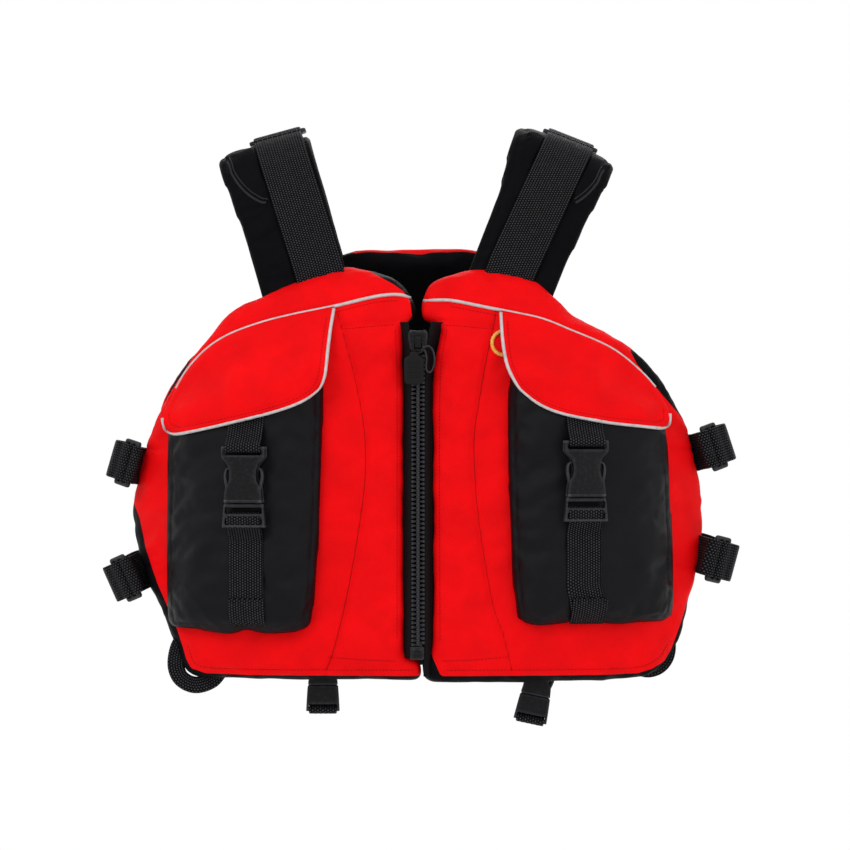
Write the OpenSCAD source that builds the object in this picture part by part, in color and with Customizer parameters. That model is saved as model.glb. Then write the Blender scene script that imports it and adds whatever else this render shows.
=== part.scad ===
// Foam-filled paddling life jacket: two front halves joined by an open-ended zip, a back panel,
// shoulder straps, side adjusters, two flapped pockets and two crotch-strap buckles.
// Front faces -Y, +X is the wearer's left, +Z is up. Millimetres.
// The origin is midway between the undersides of the two shoulder straps' crowns.

/* [Torso] */
// Half width of the oval body tube
torso_a = 300; // [295:1:305]
// Half depth of the oval body tube, outside the covers
torso_b = 105; // [102:1:108]
// Exponent of the oval: 2 is an ellipse, larger is squarer
oval_n = 2.5; // [2.4:0.05:2.6]
// Thickness of a padded panel, cloth to cloth
panel_t = 38; // [36:1:39]
// Thickness of cover and lining cloth
cloth_t = 1.5; // [1.2:0.1:1.8]
// Half of the open gap between front and back panels at each side
side_gap = 30; // [28:1:32]
// Height above the hem where the chest starts to lean back
lean_z = 345; // [340:1:350]
// Slope of that lean
lean = 0.4; // [0.35:0.01:0.42]

/* [Shoulder straps] */
// Height of the strap's foot above the hem
foot_z = 400; // [398:1:402]
// Distance of the strap's foot from the middle
foot_x = 118; // [116:1:120]
// Outward lean of each strap
strap_lean = 15; // [14:0.5:16]
// Half depth of the strap's arch, front to back
arch_y = 66; // [65:1:67]
// Height of the strap's arch
arch_h = 156; // [152:1:158]
// Width of the padded sleeve
pad_w = 86; // [82:1:88]
// Thickness of the padded sleeve
pad_t = 22; // [20:1:24]
// Width of the shoulder webbing
shoulder_web_w = 50; // [46:1:50]

/* [Zip] */
// Height of the lowest tooth
zip_low = 38; // [36:1:40]
// Height of the highest tooth
zip_high = 330; // [328:1:330]
// Distance from tooth to tooth
tooth_pitch = 4.4; // [4.2:0.1:4.6]
// Half of the space between the two panels at the zip
zip_gap = 13; // [12.5:0.5:14]

/* [Pockets] */
// How far a pocket stands out from the panel
pocket_out = 26; // [25:0.5:26]
// Distance of the pocket strap from the middle
strap_x = 176; // [172:1:178]
// Width of the pocket and side webbing
web_w = 38; // [36:1:38]
// Thickness of webbing
web_t = 1.8; // [1.6:0.1:2]

/* [Buckles] */
// Width of the pocket buckle
buckle_w = 44; // [43:1:46]
// Thickness of the pocket buckle
buckle_t = 13; // [12:0.5:13]
// Width of the crotch buckle
crotch_buckle_w = 34; // [33:1:35]
// Inner radius of the gear ring
ring_r = 10; // [9.5:0.5:10.5]

/* [Hidden] */
$fn = 32;
red = "#d20f16";
black = "#1c1c20";
grey = "#bdb8b8";
gold = "#c98a28";
plastic = "#101012";
foam_colour = "#e8e4d8";
// Lowest and highest level that any panel is drawn to before its outline cuts it
level_low = -60;
level_high = 450;
oval_steps = 15;
wall_gap = 0.2;
arch_n = 2.2;
// Height of the origin above the hem
rest_z = foot_z + (arch_h - pad_t) * cos(strap_lean);
// The line that each front half swings about: through the strap's crown and the lower side
hinge_low = [290, 0, 60];
hinge_high = [foot_x + arch_h * sin(strap_lean), 0, foot_z + arch_h * cos(strap_lean)];
hinge_dir = (hinge_high - hinge_low) / norm(hinge_high - hinge_low);
// Distance along that line from the crown down to the cut across the strap
cut_below = 48;
cut_gap = 0.5;
// Front height where each pocket buckle's halves meet, and where the side straps lie
buckle_z = 182;
side_strap_z = [111, 213];

// Right-hand panel outline, counter-clockwise from the hem beside the zip
front_edge = [
    [zip_gap, 12], [120, 12], [215, 13], [241, 24], [256, 50], [268, 84], [279, 122],
    [285, 160], [285, 190], [277, 226], [262, 262], [238, 298], [207, 334], [176, 362],
    [150, 386], [115, 405], [70, 416], [38, 407], [zip_gap, 391]
];
lining_edge = [
    [zip_gap, 3], [120, 2], [218, 3], [246, 18], [260, 48], [271, 84], [281, 122],
    [286, 160], [286, 190], [278, 226], [262, 262], [238, 298], [207, 334], [176, 362],
    [150, 386], [115, 405], [70, 416], [38, 407], [zip_gap, 391]
];
back_edge = [
    [0, 4], [215, 5], [246, 20], [262, 52], [276, 96], [285, 140], [287, 186],
    [280, 230], [262, 272], [240, 308], [214, 340], [184, 368], [155, 394], [118, 412],
    [80, 428], [58, 434], [0, 434]
];
// Its inner top corner is cut off clear of the gear ring
pocket_edge = [
    [104, 54], [120, 50], [236, 50], [253, 58], [255, 120], [254, 266], [104, 333], [94, 321],
    [96, 200]
];
// The flap folds along a straight line between the two ends of its seam
fold_in = [84, -112, 372];
fold_out = [250, -89, 284];
flap_edge = [
    [88, 361], [89, 335], [93, 310], [102, 294], [118, 281], [144, 271], [180, 263],
    [222, 256], [245, 254], [252, 260], [250, 272], [245, 280]
];
yoke_line = [
    [6, 383], [30, 388], [62, 382], [102, 373], [140, 361], [175, 348], [205, 332],
    [229, 313], [242, 297]
];

// ---- Curves ----
function spline_point(p, i, t) =
    let (n = len(p), a = p[max(i - 1, 0)], b = p[i], c = p[min(i + 1, n - 1)], d = p[min(i + 2, n - 1)])
    0.5 * (2 * b + (c - a) * t + (2 * a - 5 * b + 4 * c - d) * t * t
        + (3 * b - a - 3 * c + d) * t * t * t);
// An open curve through every point of p
function spline(p, steps = 2) =
    [for (i = [0:len(p) - 2], k = [0:steps - 1]) spline_point(p, i, k / steps), p[len(p) - 1]];
function unit(v) = v / norm(v);
function left_of(v) = [-v.y, v.x];
function edge_normal(p, i) =
    let (n = len(p), a = left_of(unit(p[i] - p[(i + n - 1) % n])),
        b = left_of(unit(p[(i + 1) % n] - p[i])))
    (a + b) / (1 + a * b);
// A counter-clockwise outline moved inwards by d
function inset(p, d) = [for (i = [0:len(p) - 1]) p[i] + d * edge_normal(p, i)];
function path_normal(p, i) =
    left_of(unit(p[min(i + 1, len(p) - 1)] - p[max(i - 1, 0)]));
// The outline of a band of thickness t along an open path
function band(p, t) = concat(
    [for (i = [0:len(p) - 1]) p[i] + t / 2 * path_normal(p, i)],
    [for (i = [len(p) - 1:-1:0]) p[i] - t / 2 * path_normal(p, i)]);

// ---- The oval plan of the torso ----
function oval(t) = [torso_a * pow(max(sin(t), 0), 2 / oval_n), -torso_b * pow(max(cos(t), 0), 2 / oval_n)];
function oval_normal(p) = unit([
    pow(p.x / torso_a, oval_n - 1) / torso_a, -pow(-p.y / torso_b, oval_n - 1) / torso_b]);
function oval_out(t, off) = oval(t) + off * oval_normal(oval(t));
function oval_y(x) = -torso_b * pow(1 - pow(x / torso_a, oval_n), 1 / oval_n);
function lean_at(z) = lean * max(z - lean_z, 0);

// Mirror the wearer's left half (+X) for side = -1
module sided(side) {
    if (side > 0) children();
    else mirror([1, 0, 0]) children();
}

// Move from heights above the hem to the origin at the shoulder rest
module placed() {
    translate([0, 0, -rest_z]) children();
}

// Curved layer over a quarter of the oval, from offset a out to offset b, leaning back at the top
module layer(a, b) {
    levels = [level_low, lean_z, level_high];
    row = oval_steps + 1;
    points = [for (z = levels, off = [b, a], i = [0:oval_steps])
        let (p = oval_out(90 * i / oval_steps, off)) [p.x, p.y + lean_at(z), z]];
    function at(level, inner, i) = (level * 2 + inner) * row + i;
    top = len(levels) - 1;
    faces = concat(
        [for (k = [0:top - 1], i = [0:oval_steps - 1])
            [at(k, 0, i), at(k + 1, 0, i), at(k + 1, 0, i + 1), at(k, 0, i + 1)]],
        [for (k = [0:top - 1], i = [0:oval_steps - 1])
            [at(k, 1, i), at(k, 1, i + 1), at(k + 1, 1, i + 1), at(k + 1, 1, i)]],
        [for (k = [0:top - 1]) [at(k, 0, 0), at(k, 1, 0), at(k + 1, 1, 0), at(k + 1, 0, 0)]],
        [for (k = [0:top - 1]) [at(k, 0, oval_steps), at(k + 1, 0, oval_steps),
            at(k + 1, 1, oval_steps), at(k, 1, oval_steps)]],
        [for (i = [0:oval_steps - 1]) [at(0, 0, i), at(0, 0, i + 1), at(0, 1, i + 1), at(0, 1, i)]],
        [for (i = [0:oval_steps - 1])
            [at(top, 0, i), at(top, 1, i), at(top, 1, i + 1), at(top, 0, i + 1)]]);
    polyhedron(points, faces, convexity = 4);
}

// A front-view outline cut through everything between gap and the front
module front_prism(outline, gap = side_gap) {
    translate([0, -gap, 0]) rotate([90, 0, 0]) linear_extrude(200) polygon(outline);
}

// Part of a layer inside a front-view outline
module panel(a, b, outline, gap = side_gap) {
    intersection() {
        layer(a, b);
        front_prism(outline, gap);
    }
}

// Tray of cloth that wraps the front, rim and side of a panel
module cover_shell(outline) {
    difference() {
        panel(cloth_t - panel_t, 0, outline);
        panel(-panel_t - 2, -cloth_t, inset(outline, cloth_t), side_gap + cloth_t);
    }
}

module foam_slab(outline) {
    panel(cloth_t + wall_gap - panel_t, -cloth_t - wall_gap,
        inset(outline, cloth_t + wall_gap), side_gap + cloth_t + wall_gap);
}

// Both halves of the back panel, turned to face +Y
module both_backs() {
    for (side = [-1, 1]) sided(side) mirror([0, 1, 0]) children();
}

module back_cover() {
    color(red) placed() difference() {
        both_backs() panel(cloth_t - panel_t, 0, spline(back_edge));
        both_backs() panel(-panel_t - 2, -cloth_t, back_inner(cloth_t), side_gap + cloth_t);
    }
}

// The back outline moved in everywhere but at the middle, where its two halves meet
function back_inner(d) =
    [for (p = inset(spline(back_edge), d)) [p.x < d + 0.01 ? 0 : p.x, p.y]];

module back_foam() {
    d = cloth_t + wall_gap;
    color(foam_colour) placed() both_backs()
        panel(d - panel_t, -d, back_inner(d), side_gap + d);
}

module back_lining() {
    color(black) placed() both_backs() panel(-panel_t, cloth_t - panel_t, spline(back_edge));
}

module front_cover(side) {
    color(red) placed() sided(side) cover_shell(spline(front_edge));
}

module front_foam(side) {
    color(foam_colour) placed() sided(side) foam_slab(spline(front_edge));
}

module front_lining(side) {
    color(black) placed() sided(side)
        panel(-panel_t, cloth_t - panel_t, spline(lining_edge));
}

module yoke_piping(side) {
    line = [for (p = yoke_line) [max(p.x, zip_gap + 1), p.y]];
    color(grey) placed() sided(side) panel(0, 2, band(spline(line), 3.5));
}

// ---- Zip ----
zip_y = -torso_b;
tape_t = 0.8;
tooth_t = 5;
// Space kept free each side of the middle for the slider's post
post_gap = 1.3;
slider_low = zip_high + 2;
slider_h = 22;
slider_w = 20;

module zip_tape(side) {
    top = 362;
    inner = 6.05;
    outer = 21;
    // The wearer's left tape is folded back beside the parked slider
    outline = concat([[inner, 13], [outer, 13], [outer, top]], side > 0
        ? [[13, top], [11, zip_high + 1], [inner, zip_high + 1]] : [[inner, top]]);
    color(black) placed() sided(side) translate([0, zip_y, 0])
        rotate([90, 0, 0]) linear_extrude(tape_t) polygon(outline);
}

module zip_teeth(side) {
    shift = side > 0 ? tooth_pitch / 2 : 0;
    count = floor((zip_high - zip_low - shift) / tooth_pitch);
    color(plastic) placed() sided(side) translate([0, zip_y + tooth_t / 2 - tape_t / 2, 0])
        rotate([90, 0, 0]) linear_extrude(tooth_t) union() {
            translate([4.6, zip_low]) square([1.4, zip_high - zip_low]);
            for (i = [0:count - 1])
                translate([post_gap, zip_low + shift + i * tooth_pitch])
                    square([4, tooth_pitch * 0.52]);
        }
}

// Retainer box at the foot of the wearer's right tape
module zip_box() {
    color(plastic) placed() translate([0, zip_y - tape_t / 2, 25]) difference() {
        translate([-8, -4.4, 0]) cube([13, 8.8, 12]);
        translate([0.2, -1.9, 2]) cube([10, 3.8, 11]);
        translate([-9, -0.6, -1]) cube([3, 1.2, 14]);
    }
}

// Insertion pin at the foot of the wearer's left tape, standing in the box
module zip_pin() {
    color(plastic) placed() translate([0, zip_y - tape_t / 2, 0]) {
        translate([0.6, -1.5, 27.6]) cube([3.7, 3, 9.8]);
        translate([4.3, -0.9, 36.2]) cube([1.6, 1.8, 1.2]);
    }
}

module zip_slider() {
    plate_t = 2.4;
    inner = tooth_t / 2 + 0.45;
    color(plastic) placed() translate([0, zip_y - tape_t / 2, slider_low]) {
        for (face = [-1, 1]) {
            translate([-slider_w / 2, face < 0 ? -inner - plate_t : inner, 0])
                cube([slider_w, plate_t, slider_h]);
            for (edge = [-1, 1])
                translate([edge * (slider_w / 2 - 0.9) - 0.9, face < 0 ? -inner : 1, 0])
                    cube([1.8, inner - 1, slider_h - 8]);
        }
        // Post that parts the teeth
        translate([-1, -inner - 0.1, slider_h - 9]) cube([2, 2 * inner + 0.2, 9]);
        // Bail that carries the pull
        for (x = [-6.5, 4.5]) translate([x, -inner - plate_t - 3.6, 4]) cube([2, 3.8, 9]);
        translate([-6.5, -inner - plate_t - 3.4, 8.5]) rotate([0, 90, 0]) cylinder(r = 1.3, h = 13);
    }
}

pull_y = zip_y - tape_t / 2 - tooth_t / 2 - 0.45 - 2.4 - 3.4;
pull_z = slider_low + 8.5;
module zip_pull() {
    color(black) placed() translate([0, pull_y, pull_z]) difference() {
        union() {
            translate([-4.2, -2.1, -8]) cube([8.4, 4.2, 10]);
            translate([-10, -1.5, -41]) cube([20, 3, 34]);
        }
        translate([-5, 0, 0]) rotate([0, 90, 0]) cylinder(r = 1.42, h = 10);
    }
}

// ---- Pockets and flaps ----
module pocket(side) {
    outer = pocket_edge;
    wall = inset(outer, cloth_t);
    // The cavity runs out through the sloping mouth
    cavity = [for (i = [0:len(wall) - 1]) wall[i] + (i == 5 || i == 6 ? [0, 12] : [0, 0])];
    color(black) placed() sided(side) difference() {
        panel(0, pocket_out, outer);
        panel(-1, pocket_out - cloth_t, cavity);
    }
}

flap_low = pocket_out + 3.6;
flap_t = 2.4;
module flap(side) {
    color(red) placed() sided(side)
        panel(flap_low, flap_low + flap_t, flap_edge);
}

module flap_piping(side) {
    rim = [for (i = [0:len(flap_edge) - 1]) flap_edge[i]];
    color(grey) placed() sided(side)
        panel(flap_low + flap_t, flap_low + flap_t + 1.6, band(spline(inset(rim, 1.8)), 3.2));
}

// Local frame on the pocket strap: x across, z up, -y outward, y = 0 on the panel
module strap_frame(side) {
    p = [strap_x, oval_y(strap_x)];
    n = oval_normal(p);
    sided(side) translate([p.x, p.y, 0]) rotate([0, 0, atan2(n.x, -n.y)]) children();
}

// Webbing of width w whose side view is the band along path, given as [outward, height]
module webbing(path, w, t = web_t) {
    outline = band([for (p = path) [-p.x, p.y]], t);
    translate([-w / 2, 0, 0]) rotate([90, 0, 90]) linear_extrude(w) polygon(outline);
}

web_out = pocket_out + 0.2 + web_t / 2;
module pocket_strap_upper(side) {
    path = [[1.4, 333], [1.4, 330], [6, 326], [20, 318], [web_out - 0.3, 314.5], [web_out, 311],
        [web_out, 243], [web_out + 3, 239.6]];
    color(black) placed() strap_frame(side) webbing(path, web_w);
}

module pocket_strap_lower(side) {
    path = [[web_out, 61], [web_out, 150], [web_out + 1, 156.5]];
    color(black) placed() strap_frame(side) {
        webbing(path, web_w);
        webbing([[web_out + web_t, 61], [web_out + web_t, 88]], web_w);
    }
}

// Outline of a buckle body, narrowed at the waist
function waist_outline(w, h, waist) = concat(
    [for (k = [0:8]) let (s = k / 8) [w / 2 - waist * pow(sin(180 * s), 2), h * s]],
    [for (k = [8:-1:0]) let (s = k / 8) [-w / 2 + waist * pow(sin(180 * s), 2), h * s]]);

// Socket half of a side-release buckle, mouth at z = 0 and facing down, back on y = 0
module buckle_female(w, h, t) {
    throat = w * 0.8;
    wall = t * 0.17;
    slot_h = 5;
    difference() {
        rotate([90, 0, 0]) linear_extrude(t) polygon(waist_outline(w, h, w * 0.03));
        // Throat for the prongs
        translate([-throat / 2, wall - t, -1]) cube([throat, t - 2 * wall, h * 0.64 + 1]);
        // Side windows where the prongs are squeezed
        for (s = [-1, 1])
            translate([s * w / 2 - w * 0.15, wall - t, h * 0.26]) cube([w * 0.3, t - 2 * wall, h * 0.32]);
        // Slot for the webbing
        translate([-w * 0.44, -t - 1, h * 0.78]) cube([w * 0.88, t + 2, slot_h]);
    }
}

// Prong half, shoulder at z = 0 under the socket's mouth; two slots take the webbing
module buckle_male(w, h, t, reach) {
    clear = 0.4;
    wall = t * 0.17 + clear;
    arm_w = w * 0.13;
    arm_x = w * 0.4 - clear - arm_w;
    slot_h = 4;
    translate([0, 0, -h]) difference() {
        translate([-w / 2, 1 - t, 0]) cube([w, t - 2, h - clear]);
        for (z = [h * 0.2, h * 0.55])
            translate([-w * 0.44, -t, z]) cube([w * 0.88, t + 1, slot_h]);
    }
    for (s = [-1, 1])
        translate([s * arm_x + (s < 0 ? -arm_w : 0), wall - t, -clear]) cube([arm_w, t - 2 * wall, reach]);
    translate([-w * 0.06, wall - t, -clear]) cube([w * 0.12, t - 2 * wall, reach * 0.8]);
}

socket_h = 56;
plug_h = 24;
buckle_back = web_out + web_t / 2 + 0.2;
module pocket_buckle_female(side) {
    color(plastic) placed() strap_frame(side) translate([0, -buckle_back, buckle_z])
        buckle_female(buckle_w, socket_h, buckle_t);
}

module pocket_buckle_male(side) {
    color(plastic) placed() strap_frame(side) translate([0, -buckle_back, buckle_z])
        buckle_male(buckle_w, plug_h, buckle_t, 33);
}

// ---- Shoulder straps ----
function arch(t, ry, h) = [ry * sign(cos(t)) * pow(abs(cos(t)), 2 / arch_n), h * pow(max(sin(t), 0), 2 / arch_n)];
arch_angles = concat([0.001, 8, 18], [for (t = [30:10:150]) t], [162, 172, 179.999]);

// Frame of a strap: x across, y front to back, z along the lean from the strap's foot
module shoulder_frame(side) {
    sided(side) translate([foot_x, 0, foot_z]) rotate([0, strap_lean, 0]) children();
}

// Arched band of width w between two depths below the strap's top, extended down to the panels
module arch_band(w, outer, inner) {
    drop = 28;
    section = concat(
        [[arch_y - outer - 6, -drop]],
        [for (t = arch_angles) arch(t, arch_y - outer, arch_h - outer)],
        [[outer + 6 - arch_y, -drop], [inner + 6 - arch_y, -drop]],
        [for (i = [len(arch_angles) - 1:-1:0]) arch(arch_angles[i], arch_y - inner, arch_h - inner)],
        [[arch_y - inner - 6, -drop]]);
    translate([-w / 2, 0, 0]) rotate([90, 0, 90]) linear_extrude(w) polygon(section);
}

// Everything above a panel's top edge, on the front (-1) or the back (1) of the torso
module above_edge(face) {
    edge = face < 0
        ? [[20, 437], [64, 419.5], [92, 414.5], [116, 407.5], [151, 388.5], [190, 354]]
        : [[20, 437], [58, 434.5], [80, 429], [118, 413], [155, 395], [190, 364]];
    translate([0, face < 0 ? 0 : 200, 0]) rotate([90, 0, 0]) linear_extrude(200)
        polygon(concat(edge, [[300, 352], [300, 620], [20, 620]]));
}

// Half space above (or below) the cut square to the swing line, on the front leg only
module beyond_cut(above) {
    size = 260;
    tilt = -atan2(-hinge_dir.x, hinge_dir.z);
    translate(hinge_high - cut_below * hinge_dir) rotate([0, tilt, 0])
        translate([-size / 2, -size, above ? cut_gap / 2 : -size - cut_gap / 2]) cube([size, size, size]);
}

module strap_front(side, w, outer, inner) {
    sided(side) intersection() {
        shoulder_frame(1) arch_band(w, outer, inner);
        above_edge(-1);
        beyond_cut(false);
    }
}

module strap_back(side, w, outer, inner) {
    sided(side) intersection() {
        shoulder_frame(1) arch_band(w, outer, inner);
        union() {
            beyond_cut(true);
            above_edge(1);
        }
    }
}

module shoulder_pad_front(side) {
    color(black) placed() strap_front(side, pad_w, 0, pad_t);
}

module shoulder_pad_back(side) {
    color(black) placed() strap_back(side, pad_w, 0, pad_t);
}

module shoulder_webbing_front(side) {
    color(black) placed() strap_front(side, shoulder_web_w, -2.2, -0.2);
}

module shoulder_webbing_back(side) {
    color(black) placed() strap_back(side, shoulder_web_w, -2.2, -0.2);
}

// Three-bar slides that join front and back webbing on the crown
module shoulder_triglides() {
    w = 60;
    d = 26;
    color(plastic) placed() for (side = [-1, 1]) shoulder_frame(side)
        translate([0, 14, arch_h + 2.4]) difference() {
            translate([-w / 2, -d / 2, 0]) cube([w, d, 4]);
            for (y = [-9, 3]) translate([-w / 2 + 4, y, -1]) cube([w - 8, 6, 6]);
        }
}

// ---- Side adjusters ----
side_w = 38;
lock_at = [299, -44];
lock_turn = 52;
lock_l = 26;
lock_t = 4.5;
near_bar = 10.9;
far_bar = 10.4;
function on_lock(x) = lock_at + x * [cos(lock_turn), sin(lock_turn)];

// Adds a height to a plan shape centred on z
module upright(z, h) {
    translate([0, 0, z - h / 2]) linear_extrude(h) children();
}

// Folded tab sewn to the front panel, holding the lock by its near bar
module side_tabs(side) {
    path = [[256, -69.1], [272, -59.8], [281, -54], [288.6, -52.8]];
    color(black) placed() sided(side) for (z = side_strap_z)
        upright(z, side_w) {
            polygon(band(path, 2.4));
            loop_round(on_lock(-near_bar), 3.4);
        }
}

// Webbing turned round a bar
module loop_round(at, r) {
    translate(at) difference() {
        circle(r + web_t);
        circle(r);
    }
}

// Adjuster webbing from the back panel, round the lock's far bar, with its free tail
module side_webbing(side) {
    bar = on_lock(far_bar);
    path = spline([[258, 68], [274, 57.5], [289, 42], [299, 20], [302, -4], bar + [-4.4, 1]], 3);
    tail = spline([bar + [4.4, 0], [313, -14], [315, 4], [310, 24]], 3);
    color(black) placed() sided(side) for (z = side_strap_z)
        upright(z, side_w) {
            polygon(band(path, web_t));
            polygon(band(tail, web_t));
            loop_round(bar, 3.6);
        }
}

// Ladder lock: a frame with three bars across it
module ladder_lock(side, z) {
    h = side_w + 10;
    color(plastic) placed() sided(side) translate([lock_at.x, lock_at.y, z])
        rotate([0, 0, lock_turn]) difference() {
            translate([-lock_l / 2, -lock_t / 2, -h / 2]) cube([lock_l, lock_t, h]);
            for (x = [-8.8, 1.8])
                translate([x, -5, -side_w / 2 - 0.5]) cube([6, 10, side_w + 1]);
        }
}

// ---- Crotch straps ----
crotch_x = [116, 97];
crotch_drop = [12, 0];
crotch_tilt = [8, 0];
crotch_socket_h = 38;
crotch_plug_h = 21;
crotch_t = 10;
crotch_web_w = 25;

// Frame of one crotch buckle: x across, z up from where its halves meet
module crotch_frame(side) {
    k = side > 0 ? 0 : 1;
    lining_y = oval_y(crotch_x[k] + 26) + panel_t;
    translate([side * crotch_x[k], lining_y + 2 + crotch_t, -8 - crotch_drop[k]])
        rotate([0, crotch_tilt[k] * side, 0]) children();
}

module crotch_buckle_female(side) {
    color(plastic) placed() crotch_frame(side)
        buckle_female(crotch_buckle_w, crotch_socket_h, crotch_t);
}

module crotch_buckle_male(side) {
    color(plastic) placed() crotch_frame(side)
        buckle_male(crotch_buckle_w, crotch_plug_h, crotch_t, 22);
}

// Short hanger to the socket and the strap from the plug, both sewn inside the front panel
module crotch_strap(side) {
    color(black) placed() crotch_frame(side) {
        hang = crotch_t + 0.3;
        webbing([[hang, 74], [hang, 42], [crotch_t / 2 + 1, 39.3]], crotch_web_w);
        webbing([[-1.6, 74], [-1.6, -8], [-0.2, -14]], crotch_web_w);
        webbing([[-2, 72.5], [hang, 72.5]], crotch_web_w, 3);
    }
}

// ---- Hem loops and gear ring ----
module hem_loop(side) {
    path = spline([[256.5, 43], [258.5, 32], [256, 16], [249, 3], [237, -3.5], [227, -0.5],
        [222, 9.5]], 3);
    color(black) placed() sided(side) translate([0, -50, 0]) rotate([90, 0, 0])
        linear_extrude(22) polygon(band(path, 2));
}

ring_x = 86;
ring_z = 341;
ring_stroke = 4;
ring_y = oval_y(ring_x) - 6;
module gear_ring() {
    outer = ring_r + ring_stroke;
    color(gold) placed() translate([ring_x, ring_y, ring_z]) rotate([90, 0, 0])
        rotate_extrude($fn = 64) polygon([
            [ring_r, -1.5], [ring_r + 0.6, -2], [outer - 0.6, -2], [outer, -1.4],
            [outer, 1.4], [outer - 0.6, 2], [ring_r + 0.6, 2], [ring_r, 1.5]]);
}

// Folded tape that carries the ring
module ring_tab() {
    hang = ring_z + ring_r + ring_stroke / 2;
    hole = 6.4;
    wall = 1.4;
    w = 7;
    tail = [[ring_y + 2, hang + 4], [ring_y + 11, hang + 10], [ring_y + 15.4, hang + 19]];
    color(black) placed() {
        translate([ring_x - w / 2, ring_y, hang]) difference() {
            translate([0, -hole / 2 - wall, -hole / 2 - wall])
                cube([w, hole + 2 * wall, hole + 2 * wall]);
            translate([-1, -hole / 2, -hole / 2]) cube([w + 2, hole, hole]);
        }
        translate([ring_x, 0, 0]) webbing([for (p = tail) [-p.x, p.y]], w, wall);
    }
}

// ---- Every node ----
back_cover();
back_foam();
back_lining();
front_cover(1);  // left_front_cover
front_cover(-1);  // right_front_cover
front_foam(1);  // left_front_foam
front_foam(-1);  // right_front_foam
front_lining(1);  // left_front_lining
front_lining(-1);  // right_front_lining
yoke_piping(1);  // left_yoke_piping
yoke_piping(-1);  // right_yoke_piping
zip_tape(1);  // left_zip_tape
zip_tape(-1);  // right_zip_tape
zip_teeth(1);  // left_zip_teeth
zip_teeth(-1);  // right_zip_teeth
zip_box();
zip_pin();
zip_slider();
zip_pull();
pocket(1);  // left_pocket
pocket(-1);  // right_pocket
flap(1);  // left_flap
flap(-1);  // right_flap
flap_piping(1);  // left_flap_piping
flap_piping(-1);  // right_flap_piping
pocket_strap_upper(1);  // left_pocket_strap_upper
pocket_strap_upper(-1);  // right_pocket_strap_upper
pocket_strap_lower(1);  // left_pocket_strap_lower
pocket_strap_lower(-1);  // right_pocket_strap_lower
pocket_buckle_female(1);  // left_pocket_buckle_female
pocket_buckle_female(-1);  // right_pocket_buckle_female
pocket_buckle_male(1);  // left_pocket_buckle_male
pocket_buckle_male(-1);  // right_pocket_buckle_male
shoulder_pad_back(1);  // left_shoulder_pad_back
shoulder_pad_back(-1);  // right_shoulder_pad_back
shoulder_pad_front(1);  // left_shoulder_pad_front
shoulder_pad_front(-1);  // right_shoulder_pad_front
shoulder_webbing_back(1);  // left_shoulder_webbing_back
shoulder_webbing_back(-1);  // right_shoulder_webbing_back
shoulder_webbing_front(1);  // left_shoulder_webbing_front
shoulder_webbing_front(-1);  // right_shoulder_webbing_front
shoulder_triglides();
side_tabs(1);  // left_side_tabs
side_tabs(-1);  // right_side_tabs
side_webbing(1);  // left_side_webbing
side_webbing(-1);  // right_side_webbing
ladder_lock(1, side_strap_z[1]);  // left_upper_ladder_lock
ladder_lock(1, side_strap_z[0]);  // left_lower_ladder_lock
ladder_lock(-1, side_strap_z[1]);  // right_upper_ladder_lock
ladder_lock(-1, side_strap_z[0]);  // right_lower_ladder_lock
crotch_strap(1);  // left_crotch_strap
crotch_strap(-1);  // right_crotch_strap
crotch_buckle_female(1);  // left_crotch_buckle_female
crotch_buckle_female(-1);  // right_crotch_buckle_female
crotch_buckle_male(1);  // left_crotch_buckle_male
crotch_buckle_male(-1);  // right_crotch_buckle_male
hem_loop(1);  // left_hem_loop
hem_loop(-1);  // right_hem_loop
ring_tab();
gear_ring();
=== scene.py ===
"""Looks for the foam-filled paddling life jacket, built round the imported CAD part.

Shapes are worked out in millimetres: x to the wearer's left, -y to the front, z above the hem.
add_mesh() turns them into the row frame's metres. A part is (points, faces, cloth coordinates).
"""

import math

import bpy
import numpy as np
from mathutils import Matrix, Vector
from mathutils.bvhtree import BVHTree
from mathutils.geometry import delaunay_2d_cdt
from mathutils.kdtree import KDTree


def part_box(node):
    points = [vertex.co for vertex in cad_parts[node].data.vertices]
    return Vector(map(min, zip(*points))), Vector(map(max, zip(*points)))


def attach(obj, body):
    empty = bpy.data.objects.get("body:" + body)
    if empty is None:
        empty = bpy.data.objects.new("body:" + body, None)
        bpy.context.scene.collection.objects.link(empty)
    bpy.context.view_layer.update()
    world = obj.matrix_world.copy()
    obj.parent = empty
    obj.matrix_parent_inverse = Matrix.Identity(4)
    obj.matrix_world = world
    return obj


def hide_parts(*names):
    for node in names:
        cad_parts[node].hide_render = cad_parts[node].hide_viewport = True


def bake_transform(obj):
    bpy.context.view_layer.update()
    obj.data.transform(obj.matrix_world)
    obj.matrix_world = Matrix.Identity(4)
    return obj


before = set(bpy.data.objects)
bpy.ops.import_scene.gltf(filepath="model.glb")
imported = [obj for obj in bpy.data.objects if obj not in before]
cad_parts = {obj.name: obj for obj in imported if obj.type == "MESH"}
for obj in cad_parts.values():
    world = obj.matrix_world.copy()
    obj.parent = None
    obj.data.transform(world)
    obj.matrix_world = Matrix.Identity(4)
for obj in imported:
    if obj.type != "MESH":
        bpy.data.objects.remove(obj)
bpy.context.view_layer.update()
MM = 0.001
# The slider's foot above the hem, which gives the hem's level in the row frame
SLIDER_LOW = 332.0
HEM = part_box("zip_slider")[0].z - SLIDER_LOW * MM
SIDES = {"left": 1, "right": -1}

# ---------------------------------------------------------------- camera, floor and light


def row(x, y, z):
    """A point given in millimetres above the hem, as a row-frame vector in metres."""
    return Vector((x * MM, y * MM, z * MM + HEM))


# The view's middle, and the plane of the jacket's front with the camera's distance from it
VIEW_X, VIEW_Z = 7, 259
CAMERA_Y, DISTANCE = -100.0, 3200.0


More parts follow.
